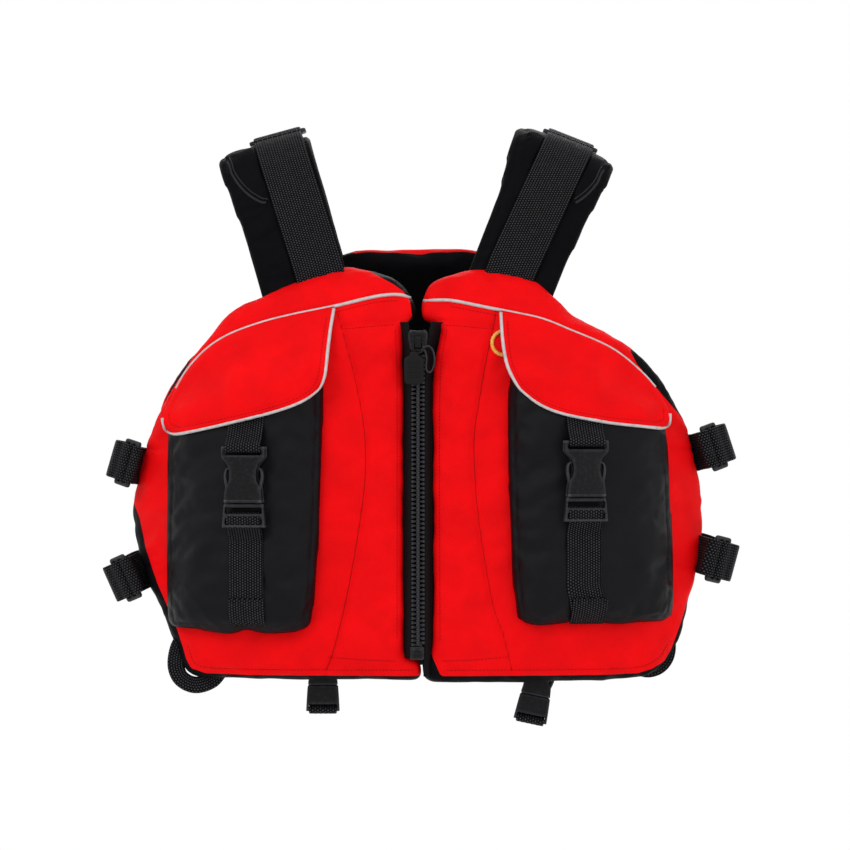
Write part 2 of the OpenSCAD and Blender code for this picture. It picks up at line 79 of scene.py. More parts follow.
def set_up_camera():
    frame_width, sensor = 850.0, 36
    data = bpy.data.cameras.new("camera")
    data.sensor_width = sensor
    data.lens = sensor * DISTANCE / frame_width
    camera = bpy.data.objects.new("camera", data)
    camera.location = row(VIEW_X, CAMERA_Y - DISTANCE, VIEW_Z)
    camera.rotation_euler = (math.radians(90), 0, 0)
    bpy.context.scene.collection.objects.link(camera)
    bpy.context.scene.camera = camera


def area_light(name, at, aim, size, power):
    data = bpy.data.lights.new(name, "AREA")
    data.shape, data.size, data.energy = "DISK", size, power
    light = bpy.data.objects.new(name, data)
    light.location = at
    light.rotation_euler = (Vector(aim) - Vector(at)).to_track_quat("-Z", "Y").to_euler()
    bpy.context.scene.collection.objects.link(light)


def set_up_light():
    middle = row(0, 0, 230)
    area_light("key", (-1.6, -2.4, 1.7), middle, 1.2, 27)
    area_light("fill", (2.0, -2.4, 0.5), middle, 1.8, 12)
    area_light("rim", (0.4, 2.4, 1.8), middle, 1.6, 22)
    world = bpy.data.worlds.new("studio")
    world.use_nodes = True
    background = world.node_tree.nodes["Background"]
    background.inputs["Color"].default_value = (1, 1, 1, 1)
    background.inputs["Strength"].default_value = 1.0
    bpy.context.scene.world = world
    bpy.context.scene.view_settings.view_transform = "Standard"


def set_up_floor():
    half, drop = 1400, 420
    points = [(x * half, y * half, -drop) for x, y in ((-1, -1), (1, -1), (1, 1), (-1, 1))]
    floor = add_mesh("floor", points, [(0, 1, 2, 3)], MATERIALS["floor"])


# ---------------------------------------------------------------- materials


class Nodes:
    """Short names for building one material's node tree. Sizes are in metres."""

    def __init__(self, name):
        self.material = bpy.data.materials.new(name)
        self.material.use_nodes = True
        self.tree = self.material.node_tree
        self.shader = self.tree.nodes["Principled BSDF"]

    def feed(self, node, socket, value):
        if isinstance(value, bpy.types.NodeSocket):
            self.tree.links.new(value, node.inputs[socket])
        else:
            node.inputs[socket].default_value = value

    def add(self, kind, links=(), **settings):
        node = self.tree.nodes.new(kind)
        for key, value in settings.items():
            setattr(node, key, value)
        for socket, value in dict(links).items():
            self.feed(node, socket, value)
        return node

    def math(self, operation, a, b=0.0):
        return self.add("ShaderNodeMath", {0: a, 1: b}, operation=operation).outputs[0]

    def wave(self, value, size):
        """A sine that repeats every `size`."""
        return self.math("SINE", self.math("MULTIPLY", value, 2 * math.pi / size))

    def uv(self):
        """Cloth coordinates in metres: across and along."""
        node = self.add("ShaderNodeSeparateXYZ", {0: self.add("ShaderNodeTexCoord").outputs["UV"]})
        return node.outputs["X"], node.outputs["Y"]

    def place(self):
        return self.add("ShaderNodeTexCoord").outputs["Object"]

    def noise(self, size, detail=3):
        """Noise whose blobs are about `size` across."""
        links = {"Vector": self.place(), "Scale": 1 / size, "Detail": detail}
        return self.add("ShaderNodeTexNoise", links).outputs["Fac"]

    def patchy(self, low, high, size, detail):
        """A value that drifts between low and high."""
        links = {"Value": self.noise(size, detail), "To Min": low, "To Max": high}
        return self.add("ShaderNodeMapRange", links).outputs[0]

    def ramp(self, fac, colours, low=0.3, high=0.7):
        node = self.add("ShaderNodeValToRGB", {"Fac": fac})
        for element, where, colour in zip(node.color_ramp.elements, (low, high), colours):
            element.position, element.color = where, (*colour, 1)
        return node.outputs["Color"]

    def bump(self, height, strength, distance, normal=None):
        links = {"Height": height, "Strength": strength, "Distance": distance}
        if normal:
            links["Normal"] = normal
        return self.add("ShaderNodeBump", links).outputs["Normal"]

    def shade(self, colour, normal, rough, **values):
        """The finished material; values are further sockets of the shader, in small letters."""
        self.feed(self.shader, "Base Color", colour)
        if normal is not None:
            self.feed(self.shader, "Normal", normal)
        self.feed(self.shader, "Roughness", rough)
        for name, value in values.items():
            self.feed(self.shader, name.replace("_", " ").title().replace("Ior", "IOR"), value)
        return self.material


def darker(colour, share):
    return tuple(c * share for c in colour)


def woven(name, colour, thread=0.5, roughness=0.6, gloss=0.12, crease=0.45, depth=0.00006):
    """Plain-weave cloth: crossed threads, fine creases and slight unevenness of the dye."""
    n = Nodes(name)
    weave = n.math("MULTIPLY", *(n.wave(way, thread * MM) for way in n.uv()))
    tone = n.math("ADD", n.math("MULTIPLY", weave, 0.10), n.noise(0.035, 5))
    normal = n.bump(n.noise(0.016, 6), crease, 0.0016, n.bump(weave, 0.5, depth))
    rough = n.patchy(roughness - 0.06, roughness + 0.08, 0.01, 4)
    return n.shade(n.ramp(tone, (darker(colour, 0.82), colour)), normal, rough, specular_ior_level=gloss)


# Width of one rib of the webbing, millimetres
WEAVE = 2.6


def webbing_material(name, colour):
    """Ribbed webbing: rows of short raised stitches set like bricks, with fine yarn on them; the raised
    stitches are painted far paler (painted highlight) and the hollows between them darker (painted shade).
    """
    n = Nodes(name)
    across, along = n.uv()
    column = n.math("MULTIPLY", across, 1 / (WEAVE * MM))
    odd = n.math("MULTIPLY", n.math("MODULO", n.math("FLOOR", column), 2.0), 0.5)
    line = n.math("ADD", n.math("MULTIPLY", along, 1 / (WEAVE * MM)), odd)
    relief = n.math("MULTIPLY", *(n.math("ABSOLUTE", n.wave(way, 2.0)) for way in (column, line)))
    yarn = n.wave(n.math("ADD", across, along), 0.0006)
    height = n.math("ADD", relief, n.math("MULTIPLY", yarn, 0.12))
    # Colour follows the relief: a painted highlight on the raised stitches and painted shade between them
    tone = n.math("ADD", n.math("MULTIPLY", relief, 0.8), n.math("MULTIPLY", n.noise(0.004, 4), 0.3))
    colours = (darker(colour, 0.2), darker(colour, 26.0))
    return n.shade(n.ramp(tone, colours, 0.5, 1.05), n.bump(height, 0.9, 0.0005), 0.5,
                   specular_ior_level=0.06)


def moulded_plastic(name, colour, roughness=0.38, edge_highlight=2.2):
    """Injection-moulded plastic: fine spark-eroded grain, with a painted highlight that makes its sharp
    edges paler.
    """
    n = Nodes(name)
    edge = n.add("ShaderNodeNewGeometry").outputs["Pointiness"]
    # Pointiness picks out the sharp edges, and the ramp paints them paler: a painted highlight along the
    # edges
    highlit_edge = n.math("ADD", edge, n.math("MULTIPLY", n.math("SUBTRACT", n.noise(0.003, 4), 0.5), 0.06))
    rough = n.patchy(roughness - 0.07, roughness + 0.1, 0.006, 5)
    return n.shade(n.ramp(highlit_edge, (colour, darker(colour, edge_highlight)), 0.5, 0.62),
                   n.bump(n.noise(0.0005, 2), 0.12, 0.0001), rough, specular_ior_level=0.13)


def reflective(name, colour):
    """Reflective piping: a fine bead-coated tape wrapped round a cord."""
    n = Nodes(name)
    grid = n.math("MULTIPLY", *(n.wave(way, 0.0011) for way in n.uv()))
    tone = n.math("ADD", n.math("MULTIPLY", grid, 0.08), n.noise(0.006, 5))
    return n.shade(n.ramp(tone, (darker(colour, 0.72), colour), 0.25, 0.6),
                   n.bump(grid, 0.3, 0.00008), 0.42, metallic=0.15)


def ring_material(name, colour):
    n = Nodes(name)
    return n.shade(n.ramp(n.noise(0.004, 4), (darker(colour, 0.6), colour)),
                   n.bump(n.noise(0.0012, 3), 0.25, 0.0003), 0.35, coat_weight=0.2, coat_roughness=0.3)


def foam_material(name, colour):
    n = Nodes(name)
    cells = n.add("ShaderNodeTexVoronoi", {"Vector": n.place(), "Scale": 900}).outputs["Distance"]
    return n.shade(n.ramp(cells, (darker(colour, 0.8), colour)), n.bump(cells, 0.4, 0.0003), 0.9)


def floor_material(name):
    n = Nodes(name)
    return n.shade(n.ramp(n.noise(0.3, 2), ((0.86, 0.86, 0.86), (0.9, 0.9, 0.9))), None, 0.9)


RED = (0.78, 0.0016, 0.0034)
MATERIALS = {
    "red_cloth": woven("red_cloth", RED, gloss=0.05),
    "black_cloth": woven("black_cloth", (0.0022, 0.0022, 0.0030), roughness=0.5, gloss=0.035),
    "pocket_cloth": woven("pocket_cloth", (0.0024, 0.0024, 0.0036), thread=0.4, roughness=0.36,
                          gloss=0.11, crease=0.3),
    "webbing": webbing_material("webbing", (0.0022, 0.0022, 0.0025)),
    "piping": reflective("piping", (0.50, 0.47, 0.47)),
    "zip_tape": woven("zip_tape", (0.0032, 0.0032, 0.0038), thread=0.9, gloss=0.08, depth=0.00012),
    # The plastics' edge factors set how strongly a highlight is painted on their sharp edges
    "plastic": moulded_plastic("plastic", (0.0034, 0.0034, 0.0040), edge_highlight=16.0),
    "zip_plastic": moulded_plastic("zip_plastic", (0.0042, 0.0042, 0.0048), roughness=0.25, edge_highlight=12.0),
    "pull_rubber": moulded_plastic("pull_rubber", (0.0045, 0.0045, 0.0050), roughness=0.5, edge_highlight=1.5),
    "ring_cord": ring_material("ring_cord", (0.85, 0.36, 0.04)),
    "foam": foam_material("foam", (0.82, 0.80, 0.74)),
    "red_thread": woven("red_thread", darker(RED, 0.38), thread=0.25, crease=0.1),
    "black_thread": woven("black_thread", (0.018, 0.018, 0.020), thread=0.25, crease=0.1),
    "floor": floor_material("floor"),
}

# ---------------------------------------------------------------- meshes from points


def add_mesh(name, points, faces, material, uv=None, sharp=None):
    """A new object from points in millimetres above the hem; uv is per point, in metres."""
    mesh = bpy.data.meshes.new(name)
    mesh.from_pydata((np.asarray(points, float) * MM + (0, 0, HEM)).tolist(), [],
                     [tuple(int(i) for i in f) for f in faces])
    if uv is not None:
        layer = mesh.uv_layers.new(name="cloth")
        index = np.zeros(len(mesh.loops), np.int32)
        mesh.loops.foreach_get("vertex_index", index)
        layer.data.foreach_set("uv", np.asarray(uv, np.float32)[index].ravel())
    mesh.polygons.foreach_set("use_smooth", [True] * len(mesh.polygons))
    if sharp:
        mesh.set_sharp_from_angle(angle=math.radians(sharp))
    mesh.materials.append(material)
    made = bpy.data.objects.new(name, mesh)
    bpy.context.scene.collection.objects.link(made)
    return made


def add_piece(name, part, material, hold, nodes=(), sharp=None):
    """A finished piece. `hold` is the body it rides, or else two bodies and two points that are not used,
    and then the piece stays fixed where it is."""
    points, faces, uv = part
    piece = add_mesh(name, points, faces, MATERIALS[material], uv, sharp)
    if isinstance(hold, str):
        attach(piece, hold)
    else:
        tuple(hold[2])
        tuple(hold[3])
        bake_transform(piece)
    if nodes:
        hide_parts(*nodes)


def merge(parts):
    """Several parts as one."""
    points, faces, uvs, start = [], [], [], 0
    for p, f, uv in parts:
        points.append(np.asarray(p, float))
        uvs.append(np.asarray(uv, float))
        faces += [tuple(i + start for i in face) for face in f]
        start += len(p)
    return np.concatenate(points), faces, np.concatenate(uvs)


def moved(part, move):
    """A part moved by a vector, or by a function of its points."""
    p, f, uv = part
    return (move(p) if callable(move) else p + np.asarray(move, float)), f, uv


def turned(faces):
    return [f[::-1] for f in faces]


def facing(side, faces):
    """Faces made for the wearer's left, turned when their points are mirrored to the right."""
    return faces if SIDES[side] > 0 else turned(faces)


def mirrored(line, side):
    return np.asarray(line, float) * (SIDES[side], 1)


def read_off(at, along, table):
    """The rows of a table, given at `along`, read at places between them."""
    return np.stack([np.interp(at, along, column) for column in np.asarray(table, float).T], 1)


def lengths(line):
    return np.concatenate([[0], np.cumsum(np.linalg.norm(np.diff(line, axis=0), axis=1))])


def spread(line, count):
    """`count` points evenly along a line."""
    along = lengths(line)
    return read_off(np.linspace(0, along[-1], count), along, line)


def resample(line, step):
    line = np.asarray(line, float)
    return spread(line, max(2, int(round(lengths(line)[-1] / step)) + 1))


def spline(points, step):
    """A smooth curve through the points, resampled every `step` millimetres."""
    p = np.asarray(points, float)
    p = np.concatenate([[2 * p[0] - p[1]], p, [2 * p[-1] - p[-2]]])
    t = np.linspace(0, 1, 24, endpoint=False)[:, None]
    a, b, c, d = (p[k:len(p) - 3 + k, None] for k in range(4))
    curve = 0.5 * (2 * b + (c - a) * t + (2 * a - 5 * b + 4 * c - d) * t ** 2
                   + (3 * b - a - 3 * c + d) * t ** 3)
    return resample(np.concatenate([curve.reshape(-1, p.shape[1]), p[-2:-1]]), step)


def tangents(line):
    t = np.gradient(line, axis=0)
    return t / np.maximum(np.linalg.norm(t, axis=1, keepdims=True), 1e-9)


def smooth(line, times):
    out = np.array(line, float)
    for _ in range(times):
        out[1:-1] = (out[:-2] + 2 * out[1:-1] + out[2:]) / 4
    return out


def smoothed(values, times):
    return smooth(np.asarray(values)[:, None], times)[:, 0]


def line_distance(p, line):
    """(distance to a polyline, length along it) for each 2-D point."""
    p, line = np.asarray(p, float), np.asarray(line, float)
    a, d = line[:-1], np.diff(line, axis=0)
    size = np.maximum((d ** 2).sum(1), 1e-12)
    start = lengths(line)[:-1]
    best, along = np.full(len(p), 1e9), np.zeros(len(p))
    for k in range(len(a)):
        t = np.clip(((p - a[k]) @ d[k]) / size[k], 0, 1)
        gap = np.linalg.norm(p - a[k] - t[:, None] * d[k], axis=1)
        near = gap < best
        best[near], along[near] = gap[near], (start[k] + t * math.sqrt(size[k]))[near]
    return best, along


def front_gap(points, line):
    """Each 3-D point's distance from a front-view line."""
    return line_distance(points[:, [0, 2]], line)[0]


def inside(p, outline):
    """Whether each 2-D point lies inside a closed outline."""
    x, y = np.asarray(p, float).T
    a, b = np.asarray(outline, float), np.roll(outline, -1, axis=0)
    odd = np.zeros(len(x), bool)
    for (ax, ay), (bx, by) in zip(a, b):
        if ay != by:
            odd ^= ((ay > y) != (by > y)) & (x < (bx - ax) * (y - ay) / (by - ay) + ax)
    return odd


def closed(outline):
    return np.concatenate([outline, outline[:1]])


def smooth_outline(points, side=None, step=4):
    """A smooth closed outline, mirrored to its side if one is given."""
    points = mirrored(points, side) if side else points
    return spline(closed(points), step)[:-1]


def bell(x, width):
    return np.exp(-(x / width) ** 2)


def ease(x, low, high):
    """0 up to low, rising straight to 1 at high."""
    return np.clip((x - low) / (high - low), 0, 1)


def nearest_tree(points):
    tree = KDTree(len(points))
    for i, q in enumerate(points):
        tree.insert(q, i)
    tree.balance()
    return tree


def plate(outline, holes, spacing, rings):
    """Triangulates an outline with holes. Returns (points, triangles, distance to the edge)."""
    loops = [resample(closed(np.asarray(l, float)), spacing)[:-1] for l in [outline, *holes]]
    edges, points, start = [], [], 0
    for loop in loops:
        n = len(loop)
        edges += [(start + i, start + (i + 1) % n) for i in range(n)]
        points.append(loop)
        start += n

    def gap(p):
        return np.min([line_distance(p, closed(l))[0] for l in loops], axis=0)

    def within(p):
        ok = inside(p, loops[0])
        for hole in loops[1:]:
            ok &= ~inside(p, hole)
        return ok

    for ring in rings:
        for loop in loops:
            t = tangents(np.concatenate([loop[-1:], loop, loop[:1]]))[1:-1]
            for side in (1, -1):
                p = loop + side * ring * np.stack([-t[:, 1], t[:, 0]], 1)
                points.append(p[within(p) & (gap(p) > ring * 0.93)])
    low, high = loops[0].min(0), loops[0].max(0)
    u, v = np.meshgrid(np.arange(low[0], high[0], spacing), np.arange(low[1], high[1], spacing * 0.87))
    u = u + (np.arange(len(u)) % 2)[:, None] * spacing / 2
    grid = np.stack([u.ravel(), v.ravel()], 1)
    points.append(grid[within(grid) & (gap(grid) > rings[-1] + spacing * 0.6)])
    made = delaunay_2d_cdt([Vector(p) for p in np.concatenate(points)], edges, [], 0, 1e-4)
    points = np.array([tuple(p) for p in made[0]])
    tris = np.array([tuple(f) for f in made[2]])
    tris = tris[within(points[tris].mean(1))]
    d = gap(points)
    d[d < 1e-3] = 0
    return points, tris, d


def round_over(d, radius):
    """0 at the edge rising to 1 at `radius`, along a quarter circle."""
    q = 1 - np.clip(d / radius, 0, 1)
    return np.sqrt(np.maximum(1 - q * q, 0))


def close_plate(tris, count):
    """Faces of the solid with a front of points 0.. and a back of points count.., walled at the edge."""
    faces = [tuple(t) for t in tris] + [tuple(int(i) + count for i in t[::-1]) for t in tris]
    uses = {(int(a), int(b)) for t in tris for a, b in (t[:2], t[1:], (t[2], t[0]))}
    faces += [(b, a, a + count, b + count) for a, b in uses if (b, a) not in uses]
    return faces


def moulded(outline, thickness, rim=1.2, spacing=1.6, crown=0.0, y=0.0, holes=()):
    """A plate with rounded edges in the x-z plane: back at y, front at y - thickness, bulging by crown."""
    points, tris, d = plate(outline, holes, spacing, [r * rim for r in (0.12, 0.4, 1.0)])
    half = thickness / 2 - rim + rim * round_over(d, rim)
    off_middle = (points[:, 0] - points[:, 0].mean()) / (np.ptp(points[:, 0]) / 2)
    bulge = crown * np.clip(1 - off_middle ** 2, 0, 1)
    front = np.stack([points[:, 0], -thickness / 2 - half - bulge * (d > 0), points[:, 1]], 1)
    back = np.stack([points[:, 0], -thickness / 2 + half, points[:, 1]], 1)
    p = np.concatenate([front, back])
    return p + (0, y, 0), close_plate(tris, len(points)), p[:, [0, 2]] * MM


def tube_faces(rows, n):
    """Faces of a closed tube: `rows` rings of n points each."""
    faces = [(i * n + k, i * n + (k + 1) % n, (i + 1) * n + (k + 1) % n, (i + 1) * n + k)
             for i in range(rows - 1) for k in range(n)]
    return faces + [tuple(range(n - 1, -1, -1)), tuple(range((rows - 1) * n, rows * n))]


def sweep(path, across, section):
    """A tube along path; across is its width direction and section its (across, out) outline."""
    path = np.asarray(path, float)
    t = tangents(path)
    across = np.broadcast_to(np.asarray(across, float), path.shape)
    across = across - (across * t).sum(1, keepdims=True) * t
    across = across / np.linalg.norm(across, axis=1, keepdims=True)
    out = np.cross(t, across)
    section = np.asarray(section, float)
    if section.ndim == 2:
        section = np.broadcast_to(section, (len(path), *section.shape))
    n = section.shape[1]
    p = path[:, None] + section[..., :1] * across[:, None] + section[..., 1:] * out[:, None]
    uv = np.stack([np.tile(lengths(section[0]), len(path)), np.repeat(lengths(path), n)], 1) * MM
    return p.reshape(-1, 3), tube_faces(len(path), n), uv


def circle(radius, count=10):
    turn = np.linspace(0, 2 * math.pi, count, endpoint=False)
    return radius * np.stack([np.cos(turn), np.sin(turn)], 1)


def tube(path, radius, count=10):
    path = np.asarray(path, float)
    t = tangents(path)
    side = np.cross(t, (0, 1, 0))
    weak = np.linalg.norm(side, axis=1) < 0.2
    side[weak] = np.cross(t[weak], (1, 0, 0))
    return sweep(path, side, circle(radius, count))


def belt(path, across, width, thickness=1.7, cell=WEAVE, grain=0.2, step=WEAVE / 2):
    """Webbing along path, with raised stitches in its faces and rounded selvedges. across is its
    width direction, or finds that for each point of the path."""
    path = resample(path, step)
    across = across(path) if callable(across) else across
    count = int(width / cell * 4)
    u = np.linspace(-1, 1, count + 1)
    shape = thickness / 2 * (1 - np.abs(u) ** 14) ** 0.5
    x = u * width / 2
    rows = np.arange(len(path))[:, None]
    rib = np.abs(np.sin(math.pi * (x + width / 2) / cell))
    column = np.floor((x + width / 2) / cell) % 2
    stitch = np.where((rows + column) % 2 == 0, 1.0, 0.15)
    relief = grain * rib * stitch * (np.abs(u) < 0.97)
    top = np.stack([np.broadcast_to(x, relief.shape), shape + relief], 2)
    under = np.stack([np.broadcast_to(x, relief.shape), -shape - relief], 2)[:, 1:-1][:, ::-1]
    p, faces, _ = sweep(path, across, np.concatenate([top, under], 1))
    flat = np.concatenate([x, x[1:-1][::-1]]) + width / 2
    uv = np.stack([np.tile(flat, len(path)), np.repeat(lengths(path), len(flat))], 1) * MM
    return p, faces, uv


def stitches(path, out, pitch=3.6, length=2.5, radius=0.32):
    """A run of stitches along a 3-D path, each a small thread bead lying on the cloth."""
    path, s = np.asarray(path, float), lengths(path)
    at = np.arange(pitch / 2, s[-1], pitch)
    tables = (path, tangents(path), np.broadcast_to(out, path.shape))
    centre, way, lift = (read_off(at, s, table)[:, None, None] for table in tables)
    side = np.cross(way, lift)
    along = np.array([-0.5, -0.3, 0.3, 0.5])[:, None, None] * length
    fat = np.array([0.35, 1.0, 1.0, 0.35])[:, None, None] * radius
    ring = circle(1.0, 5)
    p = (centre + along * way + fat * (ring[:, :1] * side + ring[:, 1:] * lift)).reshape(-1, 3)
    per_bead = len(along) * len(ring)
    faces = [tuple(start + i for i in face) for start in range(0, len(p), per_bead)
             for face in tube_faces(len(along), len(ring))]
    return p, faces, p[:, [0, 2]] * MM


def box_stitching(line, out=(0, -1, 0)):
    """The stitching that holds the end of a belt."""
    return stitches(line, out, 3.2, 2.4, 0.3)


# ---------------------------------------------------------------- the oval torso

OVAL_A, OVAL_B, OVAL_N = 300.0, 105.0, 2.5
# A panel's thickness in all, that of its foam, and the middle of it under the cover
PANEL_T, FOAM_T = 38.0, 35.0
MID = -PANEL_T / 2
# Above this height the panels lean back, by this slope
LEAN_Z, LEAN = 345.0, 0.4
_turn = np.linspace(0, math.pi / 2, 1601)
OVAL = np.stack([OVAL_A * np.sin(_turn) ** (2 / OVAL_N), -OVAL_B * np.cos(_turn) ** (2 / OVAL_N)], 1)
OVAL_S = lengths(OVAL)
_n = np.stack([(OVAL[:, 0] / OVAL_A) ** (OVAL_N - 1) / OVAL_A,
               -(-OVAL[:, 1] / OVAL_B) ** (OVAL_N - 1) / OVAL_B], 1)
OVAL_NORMAL = _n / np.linalg.norm(_n, axis=1, keepdims=True)
OVAL_TREE = nearest_tree([(x, y, 0) for x, y in OVAL])


def lean_at(z):
    soft = 7.0
    return LEAN * soft * np.logaddexp(0, (np.asarray(z, float) - LEAN_Z) / soft)


def torso(s, out, z, face=-1):
    """The point s round from the middle (signed), `out` in front of the cover and z above the hem."""
    s = np.asarray(s, float)
    xy = read_off(np.abs(s), OVAL_S, OVAL) + out[:, None] * read_off(np.abs(s), OVAL_S, OVAL_NORMAL)
    return np.stack([np.sign(s) * xy[:, 0], -face * (xy[:, 1] + lean_at(z)), z], 1)


def around(points, face=-1):
    """(s, out) of 3-D points, the reverse of torso()."""
    p = np.asarray(points, float)
    flat = np.stack([np.abs(p[:, 0]), -face * p[:, 1] - lean_at(p[:, 2])], 1)
    near = np.array([OVAL_TREE.find((x, y, 0))[1] for x, y in flat])
    away = flat - OVAL[near]
    n = OVAL_NORMAL[near]
    along = away[:, 0] * -n[:, 1] + away[:, 1] * n[:, 0]
    return np.sign(p[:, 0]) * (OVAL_S[near] + along), (away * n).sum(1)


def front_y(x, z):
    """y of the front's cover, before it swells, at points of the front view."""
    return np.interp(np.abs(x), OVAL[:, 0], OVAL[:, 1]) + lean_at(z)


def side_reach(rim):
    """How far out a padded panel's rounded rim reaches, as the camera sees it, for each s of its edge."""
    centre = np.clip(OVAL_S - rim, 0, None)
    at, n = (read_off(centre, OVAL_S, table) for table in (OVAL, OVAL_NORMAL))
    reach = at[:, 0] + MID * n[:, 0] + np.hypot(rim * n[:, 1], MID * n[:, 0])
    behind = at[:, 1] + MID * n[:, 1] - CAMERA_Y
    return np.maximum.accumulate(reach * DISTANCE / (DISTANCE + behind))


# How far in from its edge a padded panel is rounded, at the side
RIM = 17.0
REACH = side_reach(RIM)


def flatten(outline):
    """A front-view outline on the cloth's own flat, (s, z): only far round the side do they differ."""
    o = np.asarray(outline, float)
    s = np.interp(np.abs(o[:, 0]), REACH, OVAL_S)
    mix = ease(np.abs(o[:, 0]), 40, 80)
    return np.stack([np.sign(o[:, 0]) * (np.abs(o[:, 0]) * (1 - mix) + s * mix), o[:, 1]], 1)


# ---------------------------------------------------------------- padding


def evaluated(piece):
    """Points and faces of an object with its modifiers applied, the points in millimetres."""
    mesh = bpy.data.meshes.new_from_object(piece.evaluated_get(bpy.context.evaluated_depsgraph_get()))
    p = np.zeros(len(mesh.vertices) * 3, np.float32)
    mesh.vertices.foreach_get("co", p)
    faces = [tuple(f.vertices) for f in mesh.polygons]
    bpy.data.meshes.remove(mesh)
    return (p.reshape(-1, 3).astype(float) - (0, 0, HEM)) / MM, faces


def normals_of(points, faces):
    n = np.zeros_like(points)
    quads = np.array([f if len(f) == 4 else (*f, f[-1]) for f in faces])
    a, b, c, d = (points[quads[:, k]] for k in range(4))
    face = np.cross(c - a, d - b)
    for k in range(4):
        np.add.at(n, quads[:, k], face)
    return n / np.maximum(np.linalg.norm(n, axis=1, keepdims=True), 1e-9)


def modified(points, faces, *modifiers):
    """A shape after modifiers, each given as its type and its settings."""
    body = add_mesh("padding", points, faces, MATERIALS["foam"])
    for kind, settings in modifiers:
        modifier = body.modifiers.new(kind.lower(), kind)
        for key, value in settings.items():
            setattr(modifier, key, value)
    shape = evaluated(body)
    bpy.data.objects.remove(body)
    return shape


def swollen(points, faces, held, pressure, slack):
    """The points after a short cloth simulation under pressure."""
    body = add_mesh("padding", points, faces, MATERIALS["foam"])
    pins = body.vertex_groups.new(name="held")
    pins.add([int(i) for i in np.flatnonzero(held)], 1.0, "REPLACE")
    cloth = body.modifiers.new("cloth", "CLOTH")
    cloth.settings.vertex_group_mass = "held"
    cloth.settings.use_pressure = True
    cloth.settings.uniform_pressure_force = pressure
    cloth.settings.shrink_min = -slack
    cloth.settings.effector_weights.gravity = 0
    cloth.settings.bending_stiffness = 0.3
    cloth.collision_settings.use_collision = False
    scene = bpy.context.scene
    for number in range(1, 21):
        scene.frame_set(number)
    moved_points, _ = evaluated(body)
    scene.frame_set(1)
    bpy.data.objects.remove(body)
    return moved_points


def puff(points, faces, voxel, held, pressure=4.0, cap=7.0, slack=0.02, relax=3):
    """Remeshes a closed shape evenly, lets its cloth swell by `cap` at most and smooths it once more.
    held(points) says where seams hold the cloth."""
    p, f = modified(points, faces, ("REMESH", {"mode": "VOXEL", "voxel_size": voxel * MM}),
                    ("SMOOTH", {"factor": 0.5, "iterations": relax}))
    move = swollen(p, f, held(p), pressure, slack) - p
    far = np.linalg.norm(move, axis=1, keepdims=True)
    p = p + move * (cap * np.tanh(far / cap) / np.maximum(far, 1e-9))
    return modified(p, f, ("SUBSURF", {"levels": 1}))


def unevenness(p, size, seed=0.0):
    """Smooth repeatable unevenness between -1 and 1, with features about `size` millimetres across."""
    q = np.asarray(p, float) / size * 2.1 + seed
    x, y, z = q[:, 0], q[:, 1], q[:, 2]
    return (np.sin(x + 1.7 * np.sin(0.7 * z + seed)) * np.cos(0.9 * z + 1.3 * np.sin(0.8 * x))
            + np.sin(1.9 * z - 0.6 * x + y + 2.1 * np.cos(0.5 * x + seed))) / 2


def cut_by(points, faces, field):
    """Cuts a surface where field passes 0. Returns all the points and the two sides' faces."""
    points, made = list(points), {}

    def cross(i, j):
        key = (min(i, j), max(i, j))
        if key not in made:
            t = field[i] / (field[i] - field[j])
            made[key] = len(points)
            points.append(points[i] + (points[j] - points[i]) * t)
        return made[key]

    kept, rest = [], []
    for face in faces:
        signs = [field[i] >= 0 for i in face]
        if all(signs):
            kept.append(face)
        elif not any(signs):
            rest.append(face)
        else:
            for side, want in ((kept, True), (rest, False)):
                ring = []
                for k, i in enumerate(face):
                    j = face[(k + 1) % len(face)]
                    if signs[k] == want:
                        ring.append(i)
                    if signs[k] != (field[j] >= 0):
                        ring.append(cross(i, j))
                if len(ring) > 2:
                    side.append(tuple(ring))
    return np.array(points), kept, rest


def only(points, faces):
    used = sorted({i for f in faces for i in f})
    index = {old: new for new, old in enumerate(used)}
    return points[used], [tuple(index[i] for i in f) for f in faces]


def sew(points, faces, lines, face):
    """Presses seams into the outer side of a padded surface. lines are (front-view polyline, depth,
    width of the dip)."""
    out = np.array(points, float)
    n = normals_of(points, faces)
    part = (around(points, face)[1] > -14).astype(float)
    for line, depth, width in lines:
        gap, along = line_distance(points[:, [0, 2]], line)
        pucker = 1 + 0.35 * np.sin(along / 2.3) + 0.25 * np.sin(along / 5.1 + 1)
        dip = depth * bell(gap, width) * part
        ruck = 0.5 * bell(gap, 3.2 * width) * (pucker - 1) * part * (gap > 0)
        out -= n * (dip - ruck * np.minimum(gap / width, 1))[:, None]
    return out


class Surface:
    """Finds the front of a finished piece behind points of the front view."""

    def __init__(self, points, faces):
        self.tree = BVHTree.FromPolygons([tuple(p) for p in points], faces)

    def y(self, x, z, miss=0.0):
        """The surface's y at front-view points; `miss` where there is none."""
        found = []
        for a, b in np.broadcast(x, z):
            hit = self.tree.ray_cast(Vector((a, -400, b)), Vector((0, 1, 0)))[0]
            found.append(miss if hit is None else hit.y)
        return np.array(found)


def lay(surface, line, lift=0.0, step=2.5, soften=3):
    """A front-view line laid on a surface, as 3-D points; `lift` is towards the front."""
    flat = spline(line, step)
    y = surface.y(flat[:, 0], flat[:, 1], np.nan)
    seen, at = ~np.isnan(y), np.arange(len(y))
    y = smoothed(np.interp(at, at[seen], y[seen]), soften)
    return np.stack([flat[:, 0], y - lift, flat[:, 1]], 1)


def sew_runs(name, surface, runs, thread, hold, pitch=3.6, face=-1):
    """Runs of stitches on a surface. The back's surface is given as it looks turned to the front."""
    p, f, uv = merge([stitches(lay(surface, run, 0.15, 1.8, 1), (0, -1, 0), pitch) for run in runs])
    add_piece(name, (p * (1, -face, 1), f if face < 0 else turned(f), uv), thread, hold)


# ---------------------------------------------------------------- front halves and back

